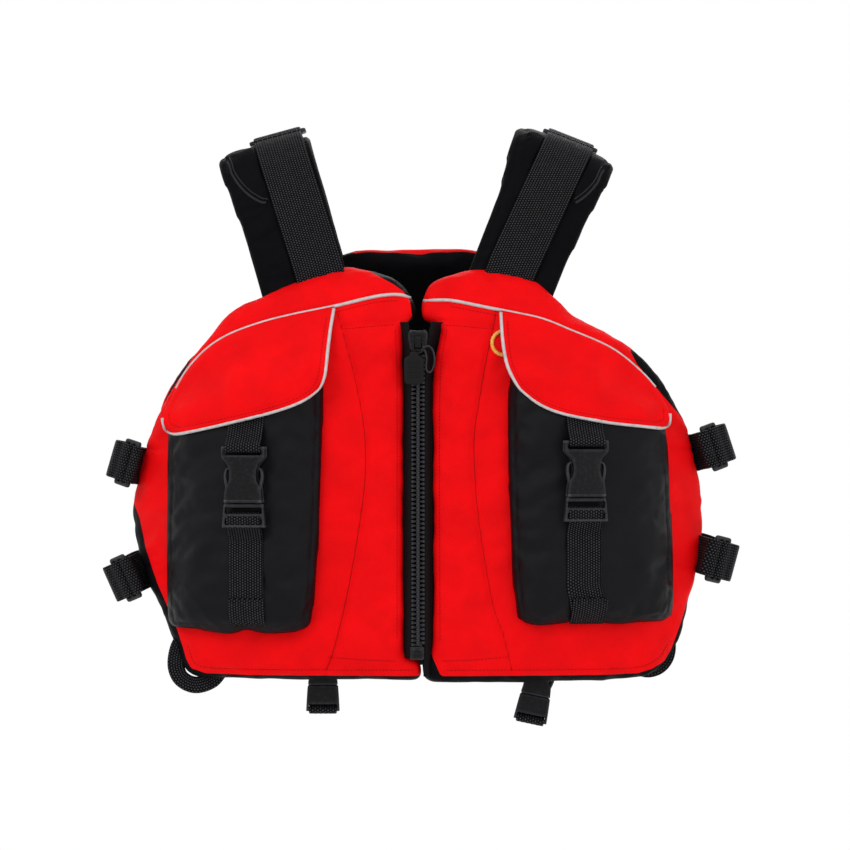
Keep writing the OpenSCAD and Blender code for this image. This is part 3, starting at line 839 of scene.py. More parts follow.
# Front-view outlines, (distance from the middle, height), from the foot of the zip round the side.
# The two halves lie differently in the photograph, so each has its own.
BODY_EDGE = {
    "right": [(-3, 3), (60, 2.5), (120, 2.5), (175, 2.5), (216, 3), (232, 9), (239, 20), (244, 34),
              (251, 52), (263, 78), (275, 98), (285, 130), (289, 160), (289, 186), (285, 212), (279, 232),
              (268, 258), (257, 280), (245, 300), (233, 320), (221, 337), (189, 373), (156, 390),
              (118, 408), (73, 420), (38, 413), (17, 402), (5, 388), (1, 376), (1, 366), (11, 358),
              (14, 340), (13, 290), (13, 45), (10, 29), (-3, 24)],
    "left": [(3.5, 3), (20, 0), (60, 0), (120, 0), (182, 1), (226, 4), (241, 10), (252, 19), (260, 33),
             (268, 55), (275, 77), (281, 98), (286, 124), (289, 154), (287, 184), (285, 206), (278, 244),
             (269, 264), (259, 282), (247, 303), (232, 322), (216, 336), (192, 351), (171, 363),
             (151, 373), (142, 384), (129, 397), (112, 409), (62, 418), (32, 411), (12, 402), (7, 390),
             (3, 380), (3, 367), (9, 362), (20, 360), (21, 350), (17, 325), (13.5, 290), (13.5, 45),
             (4, 31)],
}
# Where the red cover ends in the front view; where this lies outside the body, the cover wraps the rim
RED_EDGE = {
    "right": [(-9, 8), (18, 8), (168, 8), (214, 9), (229, 14), (234, 24), (238, 37), (243, 52), (255, 79),
              (264, 98), (277, 134), (284, 164), (300, 200), (300, 290), (240, 400), (120, 450),
              (60, 450), (58, 420), (38, 408), (25, 401), (14, 393), (8, 384), (6, 368), (12, 360),
              (-9, 352)],
    "left": [(23, 8), (182, 8), (222, 9), (236, 13), (249, 20), (257, 33), (266, 57), (274, 80),
             (300, 110), (300, 262), (272, 262), (257, 278), (248, 288), (220, 321), (214, 333),
             (240, 400), (120, 450), (-9, 450), (-9, 40), (12, 38), (15, 26)],
}
YOKE = {
    "right": [(8, 387), (21, 390), (43, 388), (85, 378), (124, 370), (156, 362), (189, 350), (213, 335),
              (233, 314), (244, 296)],
    "left": [(6, 384), (33, 384), (64, 378), (94, 372), (125, 365), (155, 353), (186, 340), (206, 328),
             (227, 310), (239, 297)],
}
PRINCESS = {
    "right": [(82, 376), (72, 340), (63, 305), (54, 256), (53, 206), (60, 150), (72, 84), (85, 32),
              (94, 9)],
    "left": [(79, 374), (69, 328), (61, 282), (56, 241), (60, 170), (74, 84), (85, 50), (95, 10)],
}
# The placket's edge beside the zip, from the top down
PLACKET = {"right": [(15, 355), (13, 290), (13, 45)], "left": [(21, 355), (14, 290), (14, 45)]}
BACK_FOOT = [(0, 4), (215, 5), (246, 20), (262, 52), (276, 96), (285, 140), (288, 186)]
BACK_EDGE = {
    "right": BACK_FOOT + [(281, 230), (273, 262), (265, 285), (256, 302), (245, 321), (231, 337),
                          (210, 354), (183, 374), (154, 396), (118, 418), (84, 436), (58, 443), (0, 443)],
    "left": BACK_FOOT + [(284, 230), (276, 260), (266, 280), (251, 299), (234, 317), (216, 333),
                         (196, 349), (170, 367), (138, 391), (108, 414), (84, 432), (58, 443), (0, 443)],
}
BACK_RED_EDGE = [(0, 12), (218, 12), (248, 26), (262, 56), (300, 110), (300, 470), (0, 470)]
HEM_EDGE = {
    "right": [(4, 8), (168, 8), (212, 9), (228, 14), (234, 24), (238, 37)],
    "left": [(28, 8), (182, 8), (222, 9), (236, 13), (249, 21), (257, 34)],
}
SEAM_DEPTH, SEAM_WIDTH = 2.0, 2.2


def across_middle(left, right=None):
    """A closed outline from the foot of the middle up one side and down the other."""
    left, right = np.asarray(left, float), np.asarray(right or left, float)
    return np.concatenate([left, right[::-1][1:-1] * (-1, 1)])


def padded_panel(outline, face, seams, dips, waves, cap=5.0, zip_held=0.0):
    """Points and faces of a foam slab in cloth over the oval: swollen between its seams, a little uneven
    by waves of (height, size, seed), with dips pressed in along its seams. Cloth nearer the middle than
    zip_held does not swell."""
    points, tris, d = plate(flatten(outline), [], 6.5, (1.5, 4, 8, 13))
    at_side = 1.0 if face > 0 else ease(np.abs(points[:, 0]), 30, 80)
    full = FOAM_T / 2 * round_over(d, 6 + (RIM - 6) * at_side)
    p = np.concatenate([torso(points[:, 0], MID + out, points[:, 1], face) for out in (full, -full)])

    def held(p):
        out = around(p, face)[1]
        gap = np.min([front_gap(p, l) for l in seams], axis=0)
        return ((gap < 4) & (out > -12)) | (np.abs(out - MID) < 7) | (np.abs(p[:, 0]) < zip_held)

    p, faces = puff(p, close_plate(tris, len(points)), 5.5, held, cap=cap, slack=0.015)
    rise = sum(height * unevenness(p, size, seed) for height, size, seed in waves)
    return sew(p + normals_of(p, faces) * rise[:, None], faces, dips, face), faces


def cover_and_lining(name, points, faces, red_outline, face, body, nodes):
    """The red cover and the black lining of one padded body, parted along their seam."""
    s, out = around(points, face)
    gap = front_gap(points, closed(np.asarray(red_outline, float)))
    edge = np.where(inside(points[:, [0, 2]], red_outline), gap, -gap)
    # The cover wraps far round the rim, but on the back's armholes the lining comes out to meet it
    wrap = 30.0 - 14.0 * (face > 0) * ease(np.abs(points[:, 0]), 66, 76)
    points, red, black = cut_by(points, faces, np.minimum(edge, out + wrap))
    for kind, material, chosen, stands in (("cover", "red_cloth", red, nodes[:2]),
                                           ("lining", "black_cloth", black, nodes[2:])):
        p, f = only(points, chosen)
        s, out = around(p, face)
        uv = np.stack([s, p[:, 2] + np.where(out < MID, 500, 0)], 1) * MM
        add_piece(f"{name}_{kind}_cloth", (p, f, uv), material, body, stands)


def front_half(side):
    """Cover, lining and seams of one front half. Returns its surface."""
    k, body = SIDES[side], f"front_{side}"
    yoke, princess = (spline(mirrored(l[side], side), 4) for l in (YOKE, PRINCESS))
    top_seam = mirrored([(22, 363), (78, 358)], side)
    side_seams = [mirrored(l, side) for l in ([(256, 236), (290, 233)], [(262, 118), (290, 112)])]
    hem = hem_line(side)
    dips = [(yoke, 1.6, 2.6), (princess, SEAM_DEPTH, SEAM_WIDTH), (top_seam, SEAM_DEPTH, SEAM_WIDTH)]
    dips += [(l, 1.8, 2.2) for l in side_seams] + [(spline(hem, 4), 0.8, 1.6)]
    points, faces = padded_panel(smooth_outline(BODY_EDGE[side], side), -1, [yoke, princess, top_seam],
                                 dips, [(0.9, 46, 3.1 * k), (0.45, 17, k)], zip_held=24)
    cover_and_lining(f"{side}_front", points, faces, mirrored(RED_EDGE[side], side), -1, body,
                     [f"{side}_front_cover", f"{side}_front_foam", f"{side}_front_lining"])
    surface = Surface(points, faces)
    placket = np.array(PLACKET[side]) + (8, 0)
    under_yoke = np.array(YOKE[side])[1:-1] - (0, 6)
    facing_foot = [(90, 27), (56, 24.5), (22, 23)]
    runs = [mirrored(l, side) for l in (placket, [(24, 359.5), (76, 355)], under_yoke, facing_foot)]
    sew_runs(f"{side}_front_stitching", surface, [hem] + runs, "red_thread", body)
    # One close run of darker thread right in the groove draws the seam's dark line: painted shade in the
    # groove
    sew_runs(f"{side}_princess_seam", surface, [princess[1:-1]], "red_thread", body, pitch=2.3)
    return surface


def hem_line(side):
    """The stitched hem, a little inside the red cover's lower edge."""
    line, inset = spline(HEM_EDGE[side], 4), 6.0
    way = tangents(line)
    return mirrored(line + inset * np.stack([-way[:, 1], way[:, 0]], 1), side)


def back_panel():
    outline = smooth_outline(across_middle(BACK_EDGE["left"], BACK_EDGE["right"]), step=5)
    yoke = spline([(-252, 300), (-205, 318), (-120, 334), (0, 340), (120, 334), (205, 318), (252, 300)], 4)
    ribs = [spline([(k * x, z) for x, z in ((92, 334), (84, 260), (80, 180), (86, 90), (98, 14))], 4)
            for k in (-1, 1)]
    seams = [yoke, *ribs]
    points, faces = padded_panel(outline, 1, seams, [(l, SEAM_DEPTH, SEAM_WIDTH) for l in seams],
                                 [(1.0, 55, 5.0), (0.5, 19, 2.0)], cap=6.0)
    cover_and_lining("back", points, faces, across_middle(BACK_RED_EDGE), 1, "back",
                     ["back_cover", "back_foam", "back_lining"])
    hem = spline([(-236, 34), (-205, 21), (0, 20), (205, 21), (236, 34)], 5)
    runs = [yoke + (0, -4)] + [l[2:-2] + (k * 4, 0) for l, k in zip(ribs, (-1, 1))] + [hem]
    turned_round = Surface(points * (1, -1, 1), turned(faces))
    sew_runs("back_stitching", turned_round, runs, "red_thread", "back", face=1)


# The piping's radius
CORD_R = 1.75


def yoke_piping(side, surface):
    cord = tube(lay(surface, mirrored(YOKE[side], side), 0.7, 2.5, 6), CORD_R, 12)
    add_piece(f"{side}_yoke_cord", cord, "piping", f"front_{side}", [f"{side}_yoke_piping"])


# ---------------------------------------------------------------- pockets and flaps

POCKET_EDGE = {
    "right": [(106, 58), (120, 52), (150, 49), (172, 53), (190, 48), (216, 52), (246, 54), (253, 64),
              (255, 120), (254, 200), (252, 262), (240, 284), (150, 318), (104, 330), (95, 318),
              (94, 280), (95, 230), (98, 150), (102, 90)],
    "left": [(99, 64), (120, 57), (146, 60), (168, 64), (196, 58), (224, 60), (250, 61), (258, 70),
             (259, 120), (255, 200), (250, 262), (240, 282), (150, 316), (104, 330), (93, 318), (89, 280),
             (89, 230), (91, 160), (94, 100)],
}
FOLDS = {
    "right": [((108, 80), (150, 175), 2.4, 9), ((120, 62), (185, 130), -2.0, 8),
              ((245, 70), (205, 160), 2.0, 9), ((110, 250), (150, 190), 1.8, 10),
              ((248, 180), (212, 240), -1.8, 9), ((100, 150), (140, 110), 1.6, 7),
              ((205, 66), (240, 110), 1.8, 7)],
    "left": [((102, 90), (145, 150), 2.2, 9), ((112, 70), (150, 95), -1.8, 7),
             ((250, 90), (205, 150), 2.2, 9), ((95, 240), (135, 200), -1.9, 10),
             ((245, 220), (200, 170), 1.8, 9), ((225, 66), (250, 130), -1.8, 8),
             ((150, 215), (100, 180), 1.7, 8)],
}
# How far a pocket stands out before it swells
POCKET_OUT = 23.0


def pocket(side, panel):
    """A padded pocket on the panel, with FOLDS of (from, to, height, width). Returns its surface."""
    outline = smooth_outline(POCKET_EDGE[side], side)
    flat, tris, d = plate(outline, [], 5.0, (1.2, 3.5, 7, 12))
    # The panel's height behind the pocket, with its small ripples left out
    plain = front_y(flat[:, 0], flat[:, 1])
    rise = panel.y(flat[:, 0], flat[:, 1], np.nan) - plain
    base = plain + np.clip(np.where(np.isnan(rise), np.nanmedian(rise), rise), -6, 3)
    front = flat_to_space(flat, base + 1.2 - POCKET_OUT * round_over(d, 21.0))

    def held(p):
        return (front_gap(p, closed(outline)) < 3.5) | (p[:, 1] > front_y(p[:, 0], p[:, 2]) - 5)

    p, f = puff(np.concatenate([front, flat_to_space(flat, base + 2.6)]), close_plate(tris, len(flat)), 4.5,
                held, cap=5.0, slack=0.03)
    move = 0.8 * unevenness(p, 34, 7.0 * SIDES[side]) + 0.4 * unevenness(p, 13, 1.0)
    for a, b, height, width in FOLDS[side]:
        line = mirrored([a, b], side)
        gap, along = line_distance(p[:, [0, 2]], line)
        end = np.sin(math.pi * np.clip(along / np.linalg.norm(line[1] - line[0]), 0.02, 0.98))
        move = move + height * bell(gap, width) * end
    gap = front_gap(p, closed(outline))
    p = p + normals_of(p, f) * (move * np.clip(gap / 12, 0, 1))[:, None]
    p = p - normals_of(p, f) * (0.8 * bell(gap - 6.5, 1.8))[:, None]
    add_piece(f"{side}_pocket_cloth", (p, f, flat_uv(p)), "pocket_cloth", f"front_{side}",
              [f"{side}_pocket"])
    surface = Surface(p, f)
    edge = mirrored(POCKET_EDGE[side], side)
    run = edge.mean(0) + (edge[1:11] - edge.mean(0)) * 0.93
    sew_runs(f"{side}_pocket_stitching", surface, [run], "black_thread", f"front_{side}")
    return surface


def flat_uv(points):
    return np.stack([points[:, 0], points[:, 2] - points[:, 1]], 1) * MM


def flat_to_space(flat, y):
    return np.stack([flat[..., 0], y, flat[..., 1]], -1).reshape(-1, 3)


FLAP = {
    "right": {"inner": [(84, 377), (88, 350), (91, 320), (93, 306), (98, 295)],
              "low": [(98, 295), (114, 283), (140, 273), (179, 263), (219, 254), (243, 250), (254, 254)],
              "outer": [(244, 296), (250, 284), (256, 268), (254, 254)]},
    "left": {"inner": [(82, 375), (84, 343), (88, 320), (94, 306), (101, 295)],
             "low": [(101, 295), (120, 280), (145, 270), (186, 262), (222, 258), (244, 256), (252, 259)],
             "outer": [(239, 297), (246, 286), (252, 272), (252, 259)]},
}
FLAP_T = 4.0
FLAP_ROWS, FLAP_COLUMNS = 60, 96


def flap_plan(side):
    """The flap's grid of front-view points, and its free rim as a line."""
    shape = {k: mirrored(v, side) for k, v in FLAP[side].items()}
    yoke = spline(mirrored(YOKE[side], side), 2)
    k = int(np.argmin(np.abs(np.abs(yoke[:, 0]) - abs(shape["inner"][0, 0]))))
    top, low = (spread(l, FLAP_COLUMNS) for l in (yoke[k:], spline(shape["low"], 2)))
    inner, outer = (spread(spline(shape[n], 2), FLAP_ROWS) for n in ("inner", "outer"))
    fade = np.linspace(1, 0, FLAP_ROWS)[:, None]
    inner, outer = inner + (top[0] - inner[0]) * fade, outer + (top[-1] - outer[0]) * fade
    u = np.linspace(0, 1, FLAP_COLUMNS)[None, :, None]
    v = np.linspace(0, 1, FLAP_ROWS)[:, None, None]
    flat = ((1 - v) * top[None] + v * low[None] + (1 - u) * inner[:, None] + u * outer[:, None]
            - (1 - u) * (1 - v) * top[0] - u * (1 - v) * top[-1] - (1 - u) * v * low[0] - u * v * low[-1])
    return flat, np.concatenate([inner, low, outer[::-1]])


def flap(side, surfaces):
    """Flap hung from the yoke seam over the pocket's mouth and its strap, with a piped rim."""
    flat, rim = flap_plan(side)
    rows, columns = FLAP_ROWS, FLAP_COLUMNS
    x, z = flat[..., 0].ravel(), flat[..., 1].ravel()
    support = np.min([under.y(x, z, 0) for under in surfaces], axis=0)
    support = support.reshape(rows, columns) - 1.2 - FLAP_T / 2
    y = support.copy()
    for _ in range(260):
        y[1:-1, 1:-1] = (y[:-2, 1:-1] + y[2:, 1:-1] + y[1:-1, :-2] + y[1:-1, 2:]) / 4
        y[-1] = y[-2] * 0.7 + support[-1] * 0.3
        y[:, 0], y[:, -1] = y[:, 1], y[:, -2]
        y = np.minimum(y, support)
        y[0] = support[0] + 1.5
    gap, _ = line_distance(flat.reshape(-1, 2), rim)
    half = FLAP_T / 2 * (0.25 + 0.75 * round_over(gap, 5.0)).reshape(rows, columns)
    stitch_dip = 0.7 * bell(gap - 6.5, 1.6).reshape(rows, columns)
    wave = 0.7 * unevenness(np.stack([x, x * 0, z], 1), 38, 4.0 * SIDES[side]).reshape(rows, columns)
    y = y + wave * np.clip(np.linspace(0, 6, rows), 0, 1)[:, None]
    front, back = flat_to_space(flat, y - half + stitch_dip), flat_to_space(flat, y + half)
    n = rows * columns
    quads = [(r * columns + c, r * columns + c + 1, (r + 1) * columns + c + 1, (r + 1) * columns + c)
             for r in range(rows - 1) for c in range(columns - 1)]
    right = [r * columns + columns - 1 for r in range(1, rows)]
    foot = [n - columns + c for c in range(columns - 2, -1, -1)]
    ring = list(range(columns)) + right + foot + [r * columns for r in range(rows - 2, 0, -1)]
    faces = quads + [tuple(i + n for i in t[::-1]) for t in quads]
    faces += [(a, a + n, b + n, b) for a, b in zip(ring, ring[1:] + ring[:1])]
    # Turned the other way from a mirrored part, since the grid runs outwards and down
    faces = turned(faces) if SIDES[side] > 0 else faces
    p = np.concatenate([front, back])
    edge = [front[r * columns] for r in range(2, rows)] + list(front[n - columns + 1:])
    edge += [front[r * columns + columns - 1] for r in range(rows - 2, int(rows * 0.7), -1)]
    cord_path = smooth(resample(np.array(edge), 2.5), 3) + (0, 0.4, 0)
    middle = flat.reshape(-1, 2).mean(0)
    run = middle + (resample(np.array(edge)[:, [0, 2]], 6) - middle) * (0.925, 0.88)
    # Two points on the straight line between the flap seam's ends, a little above and below it, given with
    # its hold
    hinge, down = np.array([167 * SIDES[side], -100, 328]), np.array([-0.468 * SIDES[side], 0, -0.883])
    hold = (f"front_{side}", f"flap_{side}", *(row(*(hinge + down * t)) for t in (-8, 8)))
    add_piece(f"{side}_flap_cloth", (p, faces, flat_uv(p)), "red_cloth", hold, [f"{side}_flap"])
    add_piece(f"{side}_flap_cord", tube(cord_path, CORD_R, 12), "piping", hold, [f"{side}_flap_piping"])
    sew_runs(f"{side}_flap_stitching", Surface(p, faces), [run], "red_thread", hold)


# ---------------------------------------------------------------- shoulder straps

# Where each strap's foot is, its lean in degrees, its webbing's place across it at foot and top, and how
# much wider than half the pad it is at (foot, crown) on its two sides
STRAP = {
    "right": {"foot": 116, "lean": 15.3, "web_foot": -19, "web_top": -13, "neck": (4, 3), "arm": (1, 11)},
    "left": {"foot": 97, "lean": 21.5, "web_foot": -8, "web_top": 0, "neck": (6, 15), "arm": (-1, 10)},
}
# The straps' foot and crown above the hem, the arch's half span and roundness, and the pad's width,
# thickness and thickness at its edges
FOOT_Z, CROWN = 400.0, 551.0
ARCH_Y, ARCH_N = 66.0, 2.2
PAD_W, PAD_T, EDGE_T = 87.0, 20.0, 6.0
SHOULDER_W = 50


def strap_height(side):
    return (CROWN - FOOT_Z) / math.cos(math.radians(STRAP[side]["lean"]))


def web_place(side, height):
    """Where across the strap its webbing lies at a height."""
    return np.interp(height, (20, strap_height(side)), (STRAP[side]["web_foot"], STRAP[side]["web_top"]))


def strap_space(side, p):
    """From a strap's own space (across, front to back, along the lean) to the jacket's."""
    p, lean = np.asarray(p, float), math.radians(STRAP[side]["lean"])
    x = STRAP[side]["foot"] + p[:, 0] * math.cos(lean) + p[:, 2] * math.sin(lean)
    z = FOOT_Z - p[:, 0] * math.sin(lean) + p[:, 2] * math.cos(lean)
    return np.stack([x * SIDES[side], p[:, 1], z], 1)


def to_side(side, part, place):
    """A part placed by a function of (side, points) that mirrors it for the wearer's right."""
    p, f, uv = part
    return place(side, p), facing(side, f), uv


def bend(side):
    """The back, the front half and two points on the strap's crown, given as its pieces' hold."""
    x = STRAP[side]["foot"] + strap_height(side) * math.sin(math.radians(STRAP[side]["lean"]))
    return "back", f"front_{side}", row(x * SIDES[side], 6, CROWN), row(x * SIDES[side], -52, CROWN)


def both_legs(side, node):
    return [f"{side}_{node}_back", f"{side}_{node}_front"]


def arch(side, depth, step=4.0):
    """The strap's arch, `depth` under its outer face, from the front's top edge over to the back's."""
    t = np.linspace(0, math.pi, 121)
    y = -(ARCH_Y - depth) * np.sign(np.cos(t)) * np.abs(np.cos(t)) ** (2 / ARCH_N)
    z = (strap_height(side) - depth) * np.abs(np.sin(t)) ** (2 / ARCH_N)
    (fy, fz), (by, bz) = (-64 + depth * 0.5, -16), (66 - depth * 0.5, -10)
    line = np.concatenate([[(fy - 4, fz - 6), (fy, fz)], np.stack([y, z], 1), [(by, bz), (by + 4, bz - 8)]])
    line = resample(smooth(resample(line, 2.0), 12), step)
    return np.concatenate([np.zeros((len(line), 1)), line], 1)


def shoulder_strap(side):
    k, reach = SIDES[side], PAD_W / 2
    path = arch(side, PAD_T / 2 + 1)
    tree = nearest_tree(path)
    q = np.linspace(-1, 1, 17)
    half = EDGE_T / 2 + (PAD_T - EDGE_T) / 2 * np.maximum(1 - np.abs(q) ** 3, 0) ** 0.6
    section = np.concatenate([np.stack([q, half], 1), np.stack([q, -half], 1)[::-1]])
    section[:, 0] *= reach

    def share(points):
        """How much wider the pad is at each point than at its foot, by its own amount on either side."""
        rise = np.clip(points[:, 2] / 135, 0, 1)
        (n0, n1), (a0, a1) = STRAP[side]["neck"], STRAP[side]["arm"]
        more = np.where(points[:, 0] < 0, n0 + (n1 - n0) * rise ** 4, a0 + (a1 - a0) * rise ** 2.2)
        return (reach + more) / reach

    def off_middle(points):
        return np.abs(points[:, 0] * (1 / share(points)))

    def depth(points):
        return np.array([tree.find(q)[2] for q in points])

    def held(points):
        pressed = (depth(points) > PAD_T / 2 - 4) & (np.abs(points[:, 0] - STRAP[side]["web_foot"]) < 22)
        return (off_middle(points) > reach - 4) | (points[:, 2] < 14) | pressed

    p, faces, _ = sweep(path, (1, 0, 0), section)
    p[:, 0] *= share(p)
    p, faces = puff(p, faces, 4.0, held, pressure=3.0, cap=3.0, slack=0.03, relax=12)
    even = off_middle(p)
    along = p[:, 2] * np.sign(p[:, 1] + 0.01)
    crease = (0.9 * np.sin(along / 9 + 1.4 * np.sin(p[:, 0] / 17) + k)
              + 0.7 * unevenness(np.stack([p[:, 0], 0 * along, along], 1), 26, 9.0 * k))
    p = p + normals_of(p, faces) * (crease * np.clip((reach - even) / 14, 0, 1))[:, None]
    # The sleeve's hemmed end: a second layer over the outer top corner, curving in to the webbing
    above_it = strap_height(side) + 40
    hem = spline([(reach + 20, 158), (43, 146), (40, 128), (34, 112), (25, 99), (13, 91), (-20, 88)], 3)
    gap = front_gap(p, hem)
    above = inside(p[:, [0, 2]], np.concatenate([hem, [(-60, above_it), (reach + 20, above_it)]]))
    off_web = np.abs(p[:, 0] - web_place(side, p[:, 2]))
    front = (p[:, 1] < -20) * np.clip((off_web - 24) / 5, 0, 1)
    cuff = front * (1.6 * above * np.clip(gap / 2, 0, 1) + 1.6 * bell(gap - 2, 2.2) * above)
    pressed = 1.6 * (1 - np.clip((off_web - 20) / 6, 0, 1)) * (depth(p) > PAD_T / 2 - 5)
    p = p + normals_of(p, faces) * (cuff - 1.1 * bell(even - reach + 7, 1.8) - pressed)[:, None]
    # Edge of the folded end, from the webbing out to the sleeve's own edge, as a bead in the paler thread
    # colour: a painted highlight along the fold
    line = lay(Surface(p, faces), hem, 0.2, 1.5)
    line = line[(line[:, 0] > STRAP[side]["web_top"] + 27) & (line[:, 0] < reach - 1)]
    fold_highlight_bead = merge([tube(line, 1.5, 8), tube(line + (-2.5, -1.0, 3), 0.7, 8)])
    add_piece(f"{side}_sleeve_hem", to_side(side, fold_highlight_bead, strap_space), "black_thread", bend(side))
    pad = (p, faces, np.stack([p[:, 0], along], 1) * MM)
    add_piece(f"{side}_shoulder_sleeve", to_side(side, pad, strap_space), "black_cloth", bend(side),
              both_legs(side, "shoulder_pad"))
    shoulder_webbing(side)


def shoulder_webbing(side):
    """The webbing over the pad, with the slide on the crown that joins its front and back."""
    path = arch(side, -2.2, step=1.2)
    path[:, 0] = smoothed(web_place(side, path[:, 2]), 30)
    web = belt(path, (1, 0, 0), SHOULDER_W, 1.8)
    add_piece(f"{side}_shoulder_belt", to_side(side, web, strap_space), "webbing", bend(side),
              both_legs(side, "shoulder_webbing"))
    w, d = 60.0, 26.0
    holes = [rounded_box(w - 9, 6.2, 1.2, z=z) for z in (-6.3, 6.3)]
    x, y, z = path[np.argmin(np.abs(path[:, 1] - 14) + 500 * (path[:, 2] < 60))]
    slide = moved(moulded(rounded_box(w, d, 4), 4.2, 1.3, holes=holes),
                  lambda p: np.stack([p[:, 0] + x, p[:, 2] + y, z + 0.3 - p[:, 1]], 1))
    add_piece(f"{side}_triglide", to_side(side, slide, strap_space), "plastic", "back",
              ["shoulder_triglides"], sharp=50)
    over = [(x, y + back, z + up) for back, up in
            ((-26, 1.6), (-13, 3.0), (-8, 5.4), (0, 7.0), (8, 5.6), (12, 2.6))]
    turn = belt(spline(over, 1.2), (1, 0, 0), SHOULDER_W, 1.8)
    add_piece(f"{side}_crown_turn", to_side(side, turn, strap_space), "webbing", bend(side))


def rounded_box(w, h, r, x=0.0, z=0.0):
    """A rounded rectangle's outline about (x, z)."""
    ring = []
    for cx, cz, start in ((1, 1, 0), (-1, 1, 90), (-1, -1, 180), (1, -1, 270)):
        for a in np.radians(np.linspace(start, start + 90, 5)):
            ring.append((cx * (w / 2 - r) + r * math.cos(a) + x, cz * (h / 2 - r) + r * math.sin(a) + z))
    return np.array(ring)


# ---------------------------------------------------------------- buckles


def both_sides(half):
    """A closed outline from its right-hand half, running upwards."""
    half = np.asarray(half, float)
    return np.concatenate([half, half[::-1] * (-1, 1)])


def socket(w, h, t):
    """Socket half of a side-release buckle: mouth at z = 0 facing down, back on y = 0."""
    wall = t * 0.2
    half = spline([(0.44, 0), (0.425, 0.14), (0.40, 0.27), (0.335, 0.36), (0.305, 0.46), (0.315, 0.58),
                   (0.36, 0.68), (0.445, 0.76), (0.5, 0.82), (0.5, 0.995)], 0.02)
    slot = rounded_box(w * 0.86, h * 0.095, h * 0.03, z=h * 0.89)
    faces = [moulded(both_sides(half * (w, h)), wall, wall * 0.45, w / 30, crown, y, [slot])
             for y, crown in ((wall - t, w * 0.02), (0, 0))]
    core = both_sides([(0.28, 0.60), (0.34, 0.70), (0.42, 0.775), (0.47, 0.83), (0.47, 0.84),
                       (0.40, 0.842)])
    bar = rounded_box(w * 0.94, h * 0.06, h * 0.02, z=h * 0.955)
    rail = np.array([(0.385, 0.01), (0.425, 0.01), (0.41, 0.15), (0.385, 0.27), (0.35, 0.27)])
    # The raised lip round the mouth
    lip = rounded_box(w * 0.87, h * 0.05, h * 0.02, z=h * 0.03)
    inner = t - wall * 1.2
    return merge(faces + [
        moulded(core * (w, h), inner, wall * 0.4, w / 22, y=-wall * 0.6),
        moulded(bar, t - wall, wall * 0.6, w / 22, y=-wall * 0.5),
        *(moulded((rail * (k * w, h))[::k], inner, wall * 0.3, w / 30, y=-wall * 0.6) for k in (-1, 1)),
        moulded(lip, wall * 0.9, wall * 0.4, w / 22, y=wall * 0.45 - t)])


def plug(w, h, t, reach, slots=((-0.31, 0.24), (-0.75, 0.24))):
    """Prong half, its shoulder at z = 0 under the socket's mouth. Slots are (middle, height) over h."""
    outline = both_sides([(0.42, -0.02), (0.455, -0.06), (0.48, -0.5), (0.5, -0.98)]) * (w, h)
    holes = [rounded_box(w * 0.84, h * tall, h * 0.04, z=h * z) for z, tall in slots]
    base, arm_t = t * 0.62, t * 0.5
    guide_t = arm_t * 0.8
    curve = spline([(0.33, -0.03), (0.345, 0.3), (0.40, 0.62), (0.425, 0.86), (0.395, 1.05),
                    (0.31, 1.12)], 0.03)
    way = tangents(curve)
    fat = np.interp(np.linspace(0, 1, len(curve)), (0, 0.6, 1), (0.05, 0.04, 0.03))[:, None]
    off = np.stack([-way[:, 1], way[:, 0]], 1) * fat
    arm = np.concatenate([curve + off, (curve - off)[::-1]])
    guide = rounded_box(w * 0.13, reach * 0.85, w * 0.04, z=reach * 0.4)
    return merge([
        moulded(outline[::-1], base, base * 0.22, w / 28, w * 0.015, -(t - base) / 2, holes),
        *(moulded(arm * (k * w, reach), arm_t, arm_t * 0.3, w / 36, y=-(t - arm_t) / 2) for k in (-1, 1)),
        moulded(guide, guide_t, arm_t * 0.2, w / 30, y=-(t - guide_t) / 2)])


POCKET_STRAP = {"right": {"x": -171, "z": 182, "foot": 60, "lean": 0},
                "left": {"x": 165, "z": 188, "foot": 61, "lean": 7}}


